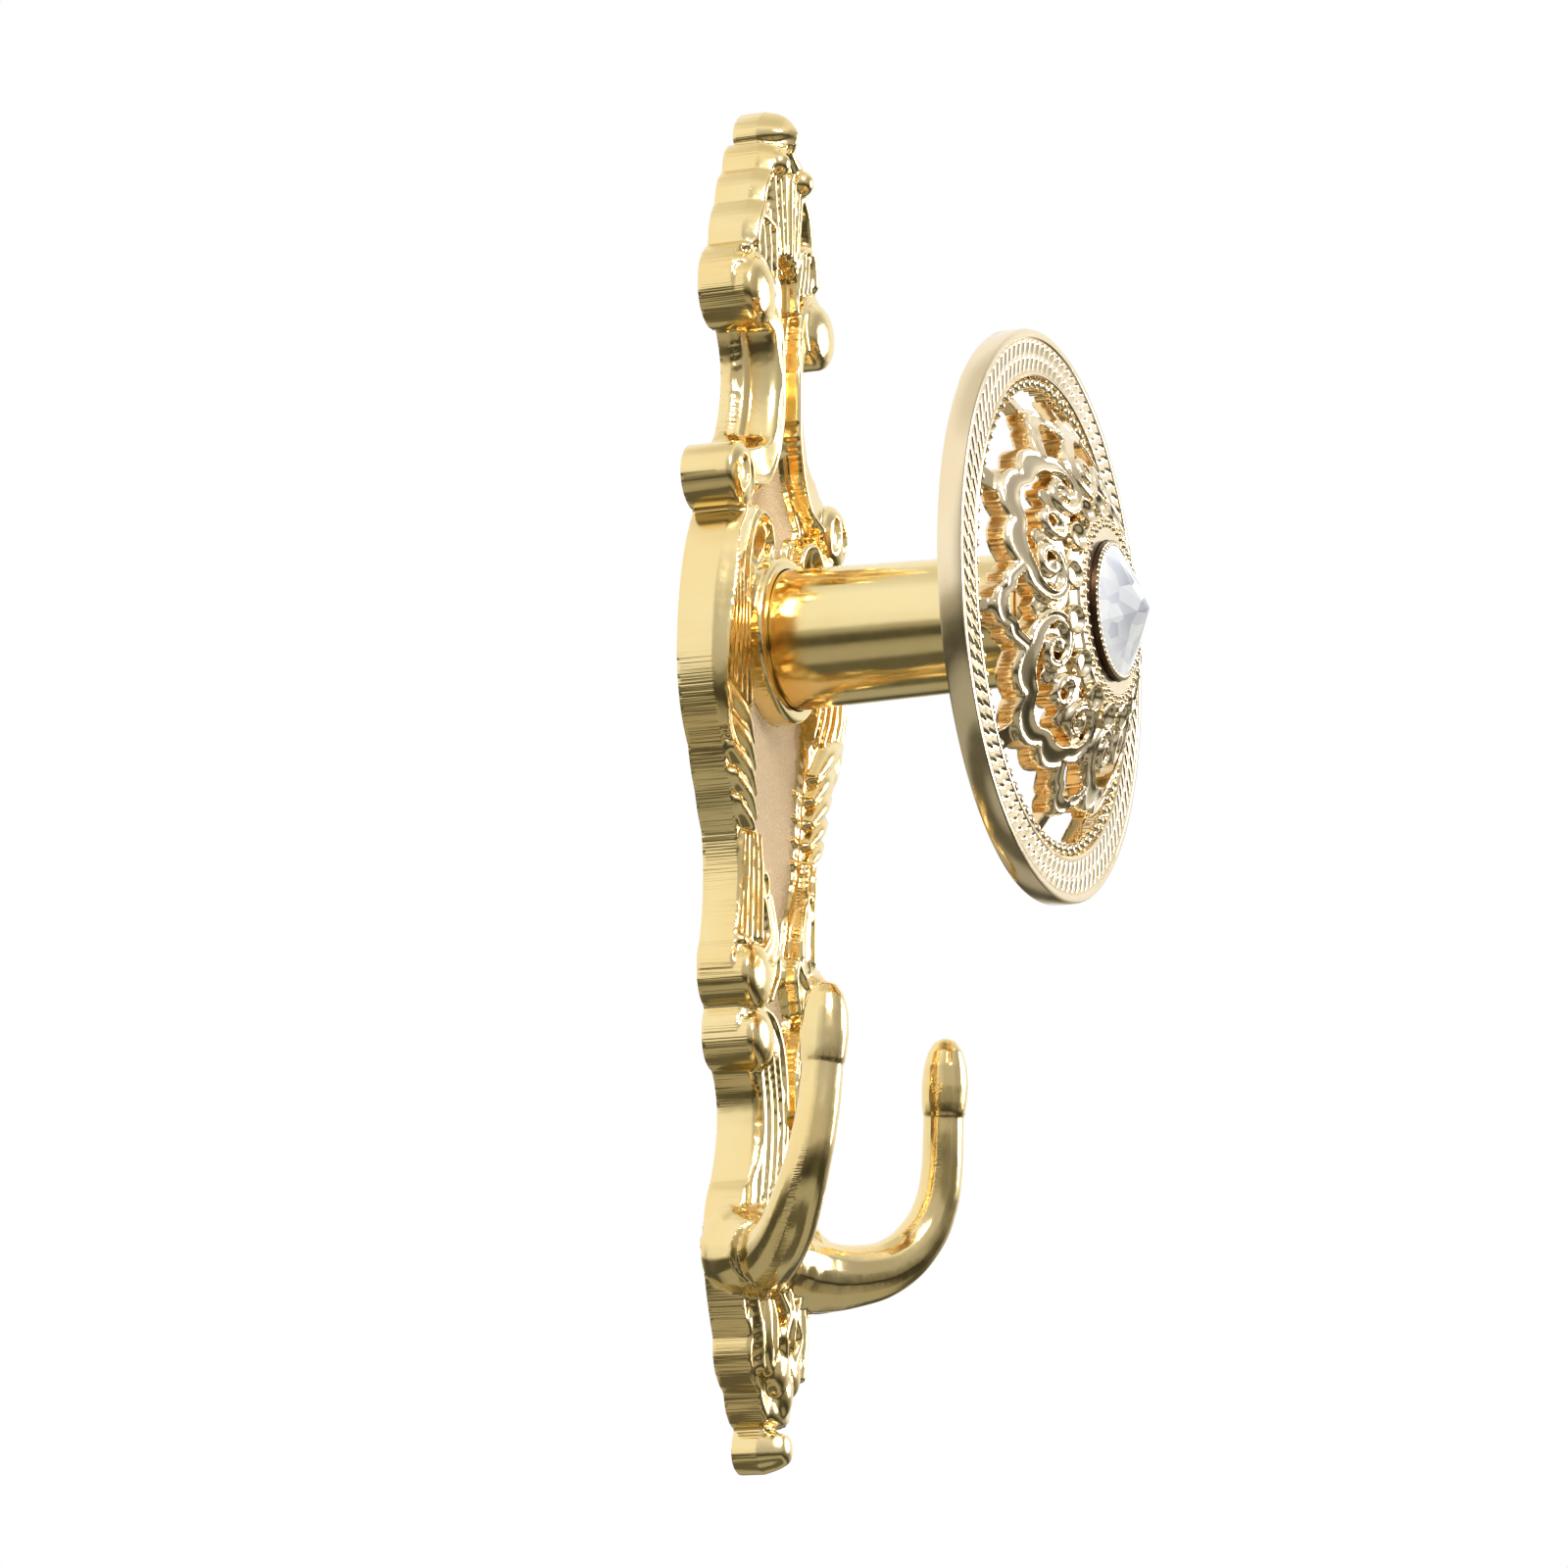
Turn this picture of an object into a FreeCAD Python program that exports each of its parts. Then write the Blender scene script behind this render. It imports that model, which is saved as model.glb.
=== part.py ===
import FreeCAD, Part
import math
import os

# A wall-mounted curtain holdback: a cast, gilt back plate with two small hooks at its foot, a
# tapered post, and an openwork rosette with a faceted crystal in its middle.
# Frame: the wall is the plane y = 0, the front faces -Y, +Z is up, and the post's axis is the
# Y axis. A depth is the distance in front of the wall, in millimetres.

SIZES = [
    ("plate_width", 44.6, "back plate, across its middle cartouche"),
    ("plate_top", 72.6, "tip of the finial, above the post's axis"),
    ("plate_bottom", 107.4, "end of the pendant, below the post's axis"),
    ("edge_depth", 5.6, "height of the plate's plain side wall"),
    ("crest_depth", 6.5, "height of the scroll bands"),
    ("crest_inset", 1.3, "how far the bands are set back from the side wall"),
    ("field_depth", 4.2, "thickness of the plate under its sunk field"),
    ("curl_rise", 0.7, "how far the curls stand above the bands"),
    ("relief_depth", 5.8, "depth of the axes of the ribs and leaves"),
    ("hole_radius", 2.3, "wall screw holes"),
    ("top_hole", 40.3, "upper wall screw, above the post's axis"),
    ("bottom_hole", 63.0, "lower wall screw, below the post's axis"),
    ("post_foot_radius", 9.2, "post at the plate"),
    ("post_tip_radius", 8.4, "post at the rosette"),
    ("post_seat", 4.6, "depth of the face that the post stands on"),
    ("post_length", 35.4, "post, from its seat to the rosette"),
    ("collar_wall", 1.6, "wall of the ring round the post's foot"),
    ("collar_depth", 7.2, "height of that ring"),
    ("fit_gap", 0.1, "play of each piece in its socket"),
    ("screw_radius", 2.5, "centre screw and rosette stud"),
    ("screw_head_radius", 4.5, "head of the centre screw"),
    ("screw_head_height", 2.2, "head of the centre screw"),
    ("screw_reach", 14.0, "centre screw, under its head"),
    ("slot_width", 1.2, "driver slot"),
    ("slot_depth", 1.1, "driver slot"),
    ("head_recess", 2.4, "depth of the pocket for the screw's head"),
    ("stud_in_post", 8.0, "stud inside the post"),
    ("stud_in_rosette", 5.0, "stud inside the rosette"),
    ("hole_spare", 1.0, "room past the end of a screw or stud"),
    ("rosette_radius", 36.6, "outer edge of the rosette"),
    ("rim_depth", 3.3, "side wall of the rosette's rim"),
    ("rim_back", 0.4, "how far the rim reaches behind the post's end"),
    ("rim_edge", 1.0, "plain rounded edge of the rim"),
    ("rim_hollow", 0.8, "how far the engraved band is sunk"),
    ("rim_width", 7.6, "rim, from its outer edge to the opening that the lattice fills"),
    ("bead_count", 80, "reeds with a bead on the end, round the opening"),
    ("bead_radius", 0.8, "one bead"),
    ("dome_rise", 9.8, "crown of the lattice above its edge"),
    ("dome_sink", 1.0, "lattice edge below the front of the rim"),
    ("dome_wall", 2.8, "thickness of the lattice"),
    ("unit_count", 5, "cloud scrolls round the rosette"),
    ("petal_count", 15, "petals round the hub"),
    ("petal_radius", 1.9, "one petal"),
    ("hub_radius", 13.4, "solid middle of the lattice, to the petals' centres"),
    ("boss_radius", 8.2, "boss behind the hub, on the post's end"),
    ("cup_sink", 1.7, "seat of the crystal's cup behind the crown of the dome"),
    ("cup_moat", 1.6, "hollow left round the cup"),
    ("cup_radius", 8.9, "cup of the crystal"),
    ("cup_height", 1.1, "cup of the crystal"),
    ("cup_wall", 0.4, "cup's wall and floor"),
    ("crystal_height", 4.1, "crystal above its girdle"),
    ("girdle_height", 0.3, "crystal's upright edge"),
    ("facet_count", 8, "main facets of the crystal"),
    ("hook_spread", 22.8, "hook's bend, from the middle of the plate"),
    ("hook_reach", 19.0, "hook's upright, in front of the wall"),
    ("hook_rise", 21.9, "hook's knob, above the lowest point of its axis"),
    ("hook_bend", 13.0, "hook's bend, along the rod's axis"),
    ("hook_root_depth", 4.4, "hook's axis where it starts, in the middle of the plate"),
    ("hook_drop", 80.8, "lowest point of the hook's axis, on the plate's drawing"),
    ("hook_radius", 3.0, "hook's rod near its knob"),
    ("hook_root_radius", 5.6, "hook's rod in the plate"),
    ("knob_radius", 3.6, "knob on the hook's tip"),
    ("knob_length", 9.6, "knob on the hook's tip"),
]

# The plate is drawn at this size, and every point of the drawing stretches with the plate.
DRAWN_WIDTH = 44.6
DRAWN_TOP = 72.6
DRAWN_BOTTOM = 107.4

# Right half of the plate's outline, from the finial's tip to the pendant's: each row is the
# middle and the end of an arc, in millimetres on the drawing, as (x, z) pairs.
OUTLINE_START = (0.0, 72.6)
OUTLINE = [
    ((3.3, 69.4), (2.8, 66.9)),
    ((6.0, 65.6), (7.3, 62.0)),
    ((9.3, 59.9), (9.8, 57.0)),
    ((11.7, 54.0), (12.0, 50.6)),
    ((15.2, 47.6), (16.0, 42.6)),
    ((13.9, 40.4), (9.6, 40.2)),
    ((7.4, 33.9), (9.4, 26.0)),
    ((12.6, 23.5), (18.2, 22.6)),
    ((21.9, 17.6), (16.6, 13.7)),
    ((21.0, 4.6), (22.3, -6.5)),
    ((22.1, -12.5), (18.2, -17.3)),
    ((17.9, -20.2), (15.9, -22.6)),
    ((15.6, -25.0), (13.7, -27.2)),
    ((13.0, -34.0), (14.4, -41.6)),
    ((15.6, -45.6), (12.6, -49.9)),
    ((13.5, -54.4), (9.7, -57.8)),
    ((8.0, -63.6), (10.4, -71.4)),
    ((12.8, -79.8), (9.2, -90.9)),
    ((8.6, -94.8), (5.6, -97.4)),
    ((4.3, -100.3), (1.9, -101.6)),
    ((2.8, -105.5), (0.0, -107.4)),
]

# Right half of the sunk field, drawn the same way: the neck, the middle and the foot.
FIELD_START = (0.0, 38.0)
FIELD = [
    ((3.6, 37.4), (4.3, 34.6)),
    ((3.9, 29.0), (5.6, 23.0)),
    ((9.2, 18.4), (11.0, 12.0)),
    ((13.4, 2.0), (11.6, -9.0)),
    ((9.2, -18.0), (8.2, -27.0)),
    ((8.6, -34.0), (9.4, -40.0)),
    ((8.6, -43.6), (5.4, -45.6)),
    ((4.2, -52.0), (4.9, -60.0)),
    ((5.4, -66.0), (4.6, -71.0)),
    ((2.8, -73.4), (0.0, -74.0)),
]

# Curls as (x, z, radius) on the drawing.
CURLS = [
    (10.9, 44.2, 4.7),
    (17.0, 18.0, 4.3),
    (10.8, -45.6, 4.3),
    (9.4, -53.8, 3.8),
    (4.4, 63.4, 1.5),
]

# Fans of tapered ribs: how many, the line that they start on, the line that they end on, their
# radius at each end, and how far their axes lie below relief_depth.
FANS = {
    "shell_lobes": (4, (1.9, 62.5), (4.9, 50.6), (4.3, 66.0), (11.4, 51.0), 0.9, 1.6, 0.8),
    "shell_veins": (2, (0.6, 65.0), (2.0, 63.4), (0.7, 53.6), (3.0, 52.2), 0.4, 0.6, -0.4),
    "scroll_ribs": (3, (9.0, 50.4), (12.6, 49.2), (8.0, 47.8), (12.4, 46.8), 0.7, 0.7, -0.3),
    "neck_ribs": (2, (6.6, 38.2), (5.6, 38.2), (6.9, 27.4), (5.9, 26.2), 0.7, 0.7, -0.6),
    "leaf_ribs": (4, (17.6, 8.4), (12.6, 4.6), (19.4, -9.6), (13.8, -9.8), 0.9, 0.9, -0.6),
    "feathers": (4, (12.2, -12.4), (9.4, -26.0), (20.4, -12.0), (14.2, -25.4), 0.8, 1.7, 0.2),
    "bell_flutes": (4, (9.8, -29.0), (12.4, -28.6), (10.6, -40.2), (13.4, -40.6), 0.7, 0.8, 0.3),
    "foot_ribs": (3, (6.0, -59.0), (8.0, -59.4), (6.2, -71.4), (10.0, -72.6), 0.5, 0.6, -0.6),
    "palmette": (3, (0.6, -87.0), (2.4, -86.4), (1.6, -98.4), (7.6, -91.4), 1.3, 1.9, 0.3),
}

# Small beads along the field, on the drawing: first, last, and their radius.
FIELD_BEADS = ((8.6, -17.6), (8.0, -30.6), 0.8)
FIELD_BEAD_COUNT = 5

# Balls of the finial and of the pendant, as (z, radius, depth of the centre) on the drawing.
BALLS = [(69.4, 2.9, 4.7), (-104.4, 2.6, 4.2)]

# Spoon between the upper curls: height of its middle, its radius, and how far the centre of the
# ball that hollows it lies in front of the bands.
SPOON = (46.6, 7.0, 4.6)

# One cloud scroll of the lattice, about the angle of its middle: circles as (distance from the
# rosette's axis, angle in degrees, radius). Distances are drawn from this hub to this opening
# and fall between the real ones.
DRAWN_HUB = 13.4
DRAWN_LATTICE = 29.0
LOBES = [(20.8, 0.0, 5.3), (20.2, -16.5, 4.5), (20.2, 16.5, 4.5)]
SPIRALS = [(17.6, -21.5, 3.5), (17.6, 21.5, 3.5)]
LOOP = (17.8, 0.0, 2.4)
WINDOW_INNER = 20.4
WINDOW_OUTER = 23.3
WINDOW_HALF_ANGLE = 13.5
BRACKET = (22.6, 36.0, 3.8)
BRACKET_HOLE = 2.1
STRUTS = [(0.0, 3.0), (36.0, 1.8)]
STRUT_INSIDE = 24.0
FIRST_UNIT_ANGLE = 82.3

X_AXIS = FreeCAD.Vector(1, 0, 0)
OUT = FreeCAD.Vector(0, -1, 0)
FRONTWARD = FreeCAD.Rotation(X_AXIS, 90)
CURL_SIDES = 14
EYE_SHARE = 0.34
BEAD_SINK = 0.3
CROWN_KNEE = 0.6
CULET_SHARE = 0.55
GIRDLE_ABOVE_CUP = 0.1


doc = FreeCAD.newDocument("curtain_holdback")
sheet = doc.addObject("Spreadsheet::Sheet", "Sizes")
for row, (alias, value, note) in enumerate(SIZES, start=1):
    sheet.set("A%d" % row, note)
    sheet.set("B%d" % row, str(value))
    sheet.setAlias("B%d" % row, alias)
doc.recompute()


def size(alias):
    return float(sheet.get(alias))


def wide():
    return size("plate_width") / DRAWN_WIDTH


def on_plate(x, z, depth):
    """A point of the plate's drawing, in space."""
    tall = size("plate_top") / DRAWN_TOP if z > 0 else size("plate_bottom") / DRAWN_BOTTOM
    return FreeCAD.Vector(x * wide(), -depth, z * tall)


def between(a, b, share):
    return tuple(p + (q - p) * share for p, q in zip(a, b))


def steps(count):
    return [i / (count - 1) for i in range(count)]


# Outlines

def mirrored(arcs_start, arcs):
    """Arcs of the whole outline as (start, middle, end), the left half mirrored."""
    right = []
    start = arcs_start
    for middle, end in arcs:
        right.append((start, middle, end))
        start = end
    left = [tuple((-x, z) for x, z in reversed(arc)) for arc in reversed(right)]
    return right + left


def arc_edges(arcs, depth):
    return [Part.Arc(*[on_plate(x, z, depth) for x, z in arc]) for arc in arcs]


def wire_of(edges):
    return Part.Wire([edge.toShape() for edge in edges])


# Back plate

def plate_blank():
    """Side wall, and the bands set back from its edge."""
    arcs = mirrored(OUTLINE_START, OUTLINE)
    foot = Part.Face(wire_of(arc_edges(arcs, 0)))
    wall = foot.extrude(OUT * size("edge_depth"))
    band = foot.makeOffset2D(-size("crest_inset")).extrude(OUT * size("crest_depth"))
    return wall.fuse(band)


def field_cutter():
    arcs = mirrored(FIELD_START, FIELD)
    floor = Part.Face(wire_of(arc_edges(arcs, size("field_depth"))))
    return floor.extrude(OUT * size("crest_depth"))


def spoon_cutter():
    z, radius, lift = SPOON
    centre = on_plate(0, z, size("crest_depth") + lift)
    return Part.makeSphere(radius * wide(), centre)


def outward(shape):
    """The solid with its faces turned outward."""
    solid = Part.Solid(shape)
    if solid.Volume < 0:
        solid.reverse()
    return solid


def facet(*corners):
    return Part.Face(Part.makePolygon(list(corners) + [corners[0]]))


def faceted_bar(start, along, profile, sides):
    """A bar with flat sides: a ring of corners at each (distance, radius) of its profile."""
    axis = FreeCAD.Vector(along).normalize()
    up = X_AXIS if abs(axis.dot(OUT)) > 0.9 else OUT
    frame = FreeCAD.Rotation(up, FreeCAD.Vector(), axis, "ZXY")
    turns = [2 * math.pi * i / sides for i in range(sides)]
    rings = []
    for distance, radius in profile:
        centre = start + axis * distance
        corners = [FreeCAD.Vector(radius * math.cos(t), radius * math.sin(t), 0) for t in turns]
        rings.append([centre + frame.multVec(corner) for corner in corners])
    faces = [facet(*rings[0]), facet(*rings[-1])]
    for low, high in zip(rings, rings[1:]):
        for i in range(sides):
            faces.append(facet(low[i - 1], low[i], high[i], high[i - 1]))
    return outward(Part.makeShell(faces))


def rib(start, end, start_radius, end_radius):
    along = end - start
    return faceted_bar(start, along, [(0, start_radius), (along.Length, end_radius)], 6)


def stud(centre, radius):
    """A small bead, as an eight-sided dome that stands out of the surface."""
    return faceted_bar(centre, OUT, [(-radius, radius), (0.35 * radius, radius),
                                     (0.8 * radius, 0.6 * radius)], 8)


def fan(count, first_start, last_start, first_end, last_end, start_radius, end_radius, sink):
    """Ribs of both halves of the plate."""
    depth = size("relief_depth") - sink
    ribs = []
    for share in steps(count):
        x1, z1 = between(first_start, last_start, share)
        x2, z2 = between(first_end, last_end, share)
        for side in (1, -1):
            start = on_plate(side * x1, z1, depth)
            end = on_plate(side * x2, z2, depth)
            ribs.append(rib(start, end, start_radius * wide(), end_radius * wide()))
    return ribs


def curl(x, z, radius):
    """A rolled scroll end, seen from its end: a drum, a bevel and an eye."""
    r = radius * wide()
    bevel = size("curl_rise")
    crest = size("crest_depth")
    profile = [(0, r), (crest, r), (crest + bevel, r - bevel)]
    eye = on_plate(x, z, crest + bevel)
    return [faceted_bar(on_plate(x, z, 0), OUT, profile, CURL_SIDES), stud(eye, EYE_SHARE * r)]


def plate_balls():
    balls = []
    for z, radius, depth in BALLS:
        balls.append(Part.makeSphere(radius * wide(), on_plate(0, z, depth)))
    first, last, radius = FIELD_BEADS
    for share in steps(FIELD_BEAD_COUNT):
        x, z = between(first, last, share)
        for side in (1, -1):
            centre = on_plate(side * x, z, size("field_depth") + BEAD_SINK)
            balls.append(stud(centre, radius * wide()))
    return balls


def collar():
    outer = size("post_foot_radius") + size("fit_gap") + size("collar_wall")
    foot = on_plate(0, 0, 0)
    height = size("collar_depth")
    bevel = size("collar_wall") / 2
    drum = Part.makeCylinder(outer, height - bevel, foot, OUT)
    crown = Part.makeCone(outer, outer - bevel, bevel, foot + OUT * (height - bevel), OUT)
    return [drum, crown]


def hook():
    """The right hook: a root that thins as it leaves the plate, a bend, an upright and a knob."""
    low = on_plate(0, -size("hook_drop"), size("hook_root_depth"))
    radius = size("hook_radius")
    bend = size("hook_bend")
    sideways = FreeCAD.Vector(size("hook_spread"), size("hook_root_depth") - size("hook_reach"), 0)
    along = FreeCAD.Vector(sideways).normalize()
    run = sideways.Length - bend
    up = FreeCAD.Vector(0, 0, 1)
    turn = low + along * run
    centre = turn + up * bend
    upright = size("hook_rise") - bend
    root = Part.makeCone(size("hook_root_radius"), radius, run, low, along)
    ring = Part.Face(Part.Wire(Part.makeCircle(radius, turn, along)))
    elbow = outward(ring.revolve(centre, up.cross(along), -90))
    top = centre + along * bend
    rod = Part.makeCylinder(radius, upright, top, up)
    return [root, elbow, rod, knob(top + up * upright)]


def knob(foot):
    """An upright egg with a small step at its lower edge."""
    r = size("knob_radius")
    length = size("knob_length")
    profile = [(0, 0.9 * r), (0.15 * length, r), (0.45 * length, r), (0.72 * length, 0.84 * r),
               (0.9 * length, 0.56 * r), (length, 0.16 * r)]
    return faceted_bar(foot, FreeCAD.Vector(0, 0, 1), profile, 14)


def both_sides(shapes):
    flipped = [shape.mirror(FreeCAD.Vector(0, 0, 0), X_AXIS) for shape in shapes]
    return shapes + flipped


def screw_holes():
    through = size("crest_depth") * 3
    holes = []
    for z in (size("top_hole"), -size("bottom_hole")):
        start = FreeCAD.Vector(0, 1, z)
        holes.append(Part.makeCylinder(size("hole_radius"), through, start, OUT))
    return holes


def post_cuts():
    """Socket for the post's foot, clearance for the centre screw, and room for its head."""
    gap = size("fit_gap")
    seat = OUT * size("post_seat")
    start = FreeCAD.Vector(0, 1, 0)
    socket = Part.makeCylinder(size("post_foot_radius") + gap, size("crest_depth"), seat, OUT)
    shank = Part.makeCylinder(size("screw_radius") + gap, size("crest_depth"), start, OUT)
    head = Part.makeCylinder(size("screw_head_radius") + gap, size("head_recess") + 1, start, OUT)
    return [socket, shank, head]


def backplate():
    blank = plate_blank().cut([field_cutter(), spoon_cutter()])
    relief = []
    for values in FANS.values():
        relief += fan(*values)
    for x, z, radius in CURLS:
        relief += curl(x, z, radius) + curl(-x, z, radius)
    relief += plate_balls() + collar() + both_sides(hook())
    solid = blank.fuse(relief)
    solid = solid.cut(screw_holes() + post_cuts())
    wide_open = 4 * size("plate_bottom")
    corner = FreeCAD.Vector(-wide_open / 2, 0, -wide_open / 2)
    behind_wall = Part.makeBox(wide_open, wide_open, wide_open, corner)
    return solid.cut(behind_wall).Solids[0]


# Rosette

def lattice_radius():
    return size("rosette_radius") - size("rim_width")


def rosette_scale():
    return lattice_radius() / DRAWN_LATTICE


def across_lattice(distance):
    """A drawn distance from the axis, as it falls between the real hub and the opening."""
    share = (distance - DRAWN_HUB) / (DRAWN_LATTICE - DRAWN_HUB)
    return size("hub_radius") + share * (lattice_radius() - size("hub_radius"))


def polar(distance, degrees, depth):
    angle = math.radians(degrees)
    return FreeCAD.Vector(distance * math.cos(angle), -depth, distance * math.sin(angle))


def post_end():
    return size("post_seat") + size("post_length")


def rim_front():
    return post_end() - size("rim_back") + size("rim_depth")


def dome_radius():
    rise = size("dome_rise")
    half = lattice_radius()
    return (half * half + rise * rise) / (2 * rise)


def crown_depth():
    return rim_front() - size("dome_sink") + size("dome_rise")


def cup_seat():
    return crown_depth() - size("cup_sink")


def rim_ring():
    """Side wall, plain edge, sunk engraved band, and the ledge that the beads stand on."""
    back = post_end() - size("rim_back")
    front = rim_front()
    outer = size("rosette_radius")
    edge = size("rim_edge")
    inner = lattice_radius()
    hollow = size("rim_hollow")
    ledge = inner + 2 * size("bead_radius")
    bevel = edge / 3
    profile = [
        (inner, back), (outer, back), (outer, front - bevel), (outer - bevel, front),
        (outer - edge, front), (outer - 1.6 * edge, front - 0.6 * hollow),
        (ledge, front - hollow), (ledge, front - 2 * hollow), (inner, front - 2 * hollow),
    ]
    corners = [FreeCAD.Vector(r, -depth, 0) for r, depth in profile]
    half = Part.Face(Part.makePolygon(corners + corners[:1]))
    return half.revolve(FreeCAD.Vector(0, 0, 0), FreeCAD.Vector(0, 1, 0), 360)


def bead():
    """A reed with a bead on its front end, at angle zero."""
    r = size("bead_radius")
    neck = 0.7 * r
    length = rim_front() - 0.4 * r - post_end()
    start = polar(lattice_radius() + 0.4 * r, 0, post_end())
    profile = [(0, neck), (length - r, neck), (length - 0.4 * r, r), (length, r),
               (length + 0.4 * r, 0.6 * r)]
    return faceted_bar(start, OUT, profile, 5)


def dome_shell():
    """The bowl-shaped wall that the lattice is cut from, clear of the rim's back."""
    radius = dome_radius()
    centre = OUT * (crown_depth() - radius)
    ball = Part.makeSphere(radius, centre)
    hollow = Part.makeSphere(radius - size("dome_wall"), centre)
    back = post_end() - size("rim_back")
    reach = lattice_radius() + 0.1
    slab = Part.makeCylinder(reach, 3 * size("dome_rise"), OUT * back, OUT)
    return slab.common(ball.cut(hollow))


def drum(distance, degrees, radius):
    """An upright wall through the whole dome, placed and sized on the lattice's drawing."""
    foot = polar(across_lattice(distance), degrees, 0)
    return post_of(foot, radius * rosette_scale(), 2 * crown_depth())


def post_of(foot, radius, height):
    """A round post whose sides are flat where that saves faces: fewer on a small one."""
    sides = 2 * math.ceil(4 + 1.2 * radius)
    return faceted_bar(foot, OUT, [(0, radius), (height, radius)], sides)


def window():
    """The curved opening inside a cloud scroll."""
    whole = 2 * WINDOW_HALF_ANGLE
    height = 2 * crown_depth()
    far = across_lattice(WINDOW_OUTER)
    near = across_lattice(WINDOW_INNER)
    outer = Part.makeCylinder(far, height, FreeCAD.Vector(), OUT, whole)
    inner = Part.makeCylinder(near, height, FreeCAD.Vector(), OUT)
    sector = outer.cut(inner).Solids[0]
    middle = sector.CenterOfMass
    sector.rotate(FreeCAD.Vector(), OUT, -math.degrees(math.atan2(middle.z, middle.x)))
    return sector


def strut(degrees, width):
    inside = across_lattice(STRUT_INSIDE)
    length = lattice_radius() - inside
    height = 2 * crown_depth()
    corner = FreeCAD.Vector(inside, -height, -width / 2)
    box = Part.makeBox(length, height, width, corner)
    box.rotate(FreeCAD.Vector(), OUT, degrees)
    return box


def lattice_unit():
    """One cloud scroll and one bracket, as upright walls, before the dome trims them."""
    walls = [drum(*lobe) for lobe in LOBES] + [drum(*spiral) for spiral in SPIRALS]
    walls += [drum(*LOOP), drum(*BRACKET)]
    walls += [strut(degrees, width) for degrees, width in STRUTS]
    solid = walls[0].fuse(walls[1:])
    holes = [drum(d, a, EYE_SHARE * r) for d, a, r in SPIRALS + [LOOP]]
    holes += [drum(BRACKET[0], BRACKET[1], BRACKET_HOLE), window()]
    return solid.cut(holes)


def turned(shape, degrees):
    copy = shape.copy()
    copy.rotate(FreeCAD.Vector(), OUT, degrees)
    return copy


def around(shape, count, start):
    return [turned(shape, start + 360 * i / count) for i in range(count)]


def hub():
    """Petalled disc in the middle of the lattice, before the dome trims it."""
    height = 2 * crown_depth()
    disc = Part.makeCylinder(size("hub_radius"), height, FreeCAD.Vector(), OUT)
    foot = polar(size("hub_radius"), 0, 0)
    petal = post_of(foot, size("petal_radius"), height)
    return disc.fuse(around(petal, int(size("petal_count")), 0))


def rosette():
    shell = dome_shell()
    unit = lattice_unit().common(shell)
    pieces = around(unit, int(size("unit_count")), FIRST_UNIT_ANGLE)
    pieces.append(hub().common(shell))
    boss_height = crown_depth() - size("dome_wall") / 2 - post_end()
    pieces.append(Part.makeCylinder(size("boss_radius"), boss_height, OUT * post_end(), OUT))
    pieces += around(bead(), int(size("bead_count")), 0)
    solid = rim_ring().fuse(pieces)
    moat = Part.makeCylinder(size("cup_radius") + size("cup_moat"), 2 * size("cup_sink"),
                             OUT * cup_seat(), OUT)
    hole_depth = size("stud_in_rosette") + size("hole_spare")
    hole = Part.makeCylinder(size("screw_radius") + size("fit_gap"), hole_depth + 1,
                             OUT * (post_end() - 1), OUT)
    return solid.cut([moat, hole]).Solids[0]


# Crystal

def ring_of(count, radius, depth, offset):
    return [polar(radius, 360 * (i + offset) / count, depth) for i in range(count)]


def crystal():
    """Pointed crown of kites and girdle triangles, an upright girdle and a cut-off pavilion."""
    count = int(size("facet_count"))
    radius = size("cup_radius") - size("cup_wall") - size("fit_gap")
    floor = cup_seat() + size("cup_wall")
    girdle = cup_seat() + size("cup_height") + GIRDLE_ABOVE_CUP
    low = girdle - size("girdle_height")
    half_turn = math.pi / count
    knee_depth = girdle + size("crystal_height") * (1 - CROWN_KNEE * math.cos(half_turn))
    apex = polar(0, 0, girdle + size("crystal_height"))
    knees = ring_of(count, CROWN_KNEE * radius, knee_depth, 0.5)
    points = ring_of(2 * count, radius, girdle, 0)
    under = ring_of(2 * count, radius, low, 0)
    culet = ring_of(2 * count, CULET_SHARE * radius, floor, 0)
    faces = []
    for i in range(count):
        before = knees[i - 1]
        after = knees[i]
        tip = points[2 * i]
        middle = points[2 * i + 1]
        following = points[(2 * i + 2) % (2 * count)]
        faces += [facet(apex, before, tip, after), facet(after, tip, middle)]
        faces.append(facet(after, middle, following))
    for i in range(2 * count):
        j = (i + 1) % (2 * count)
        faces.append(facet(points[i], under[i], under[j], points[j]))
        faces.append(facet(under[i], culet[i], culet[j], under[j]))
    faces.append(facet(*culet))
    return outward(Part.makeShell(faces))


# Pieces made from plain solids

def bound(kind, name, **expressions):
    """A primitive whose properties follow the sheet."""
    piece = doc.addObject(kind, name)
    piece.Placement = FreeCAD.Placement(FreeCAD.Vector(), FRONTWARD)
    for prop, expression in expressions.items():
        piece.setExpression(prop, expression)
    return piece


def place_along(piece, expression):
    """Puts a front-facing primitive at a depth given by an expression."""
    piece.setExpression("Placement.Base.y", "-(" + expression + ")")


def cut_piece(name, base, tools):
    """Cuts each tool from the base and names the result."""
    result = base
    for i, tool in enumerate(tools, start=1):
        cut = doc.addObject("Part::Cut", "%s_cut%d" % (name, i))
        cut.Base = result
        cut.Tool = tool
        result = cut
    result.Label = name
    return result


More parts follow.
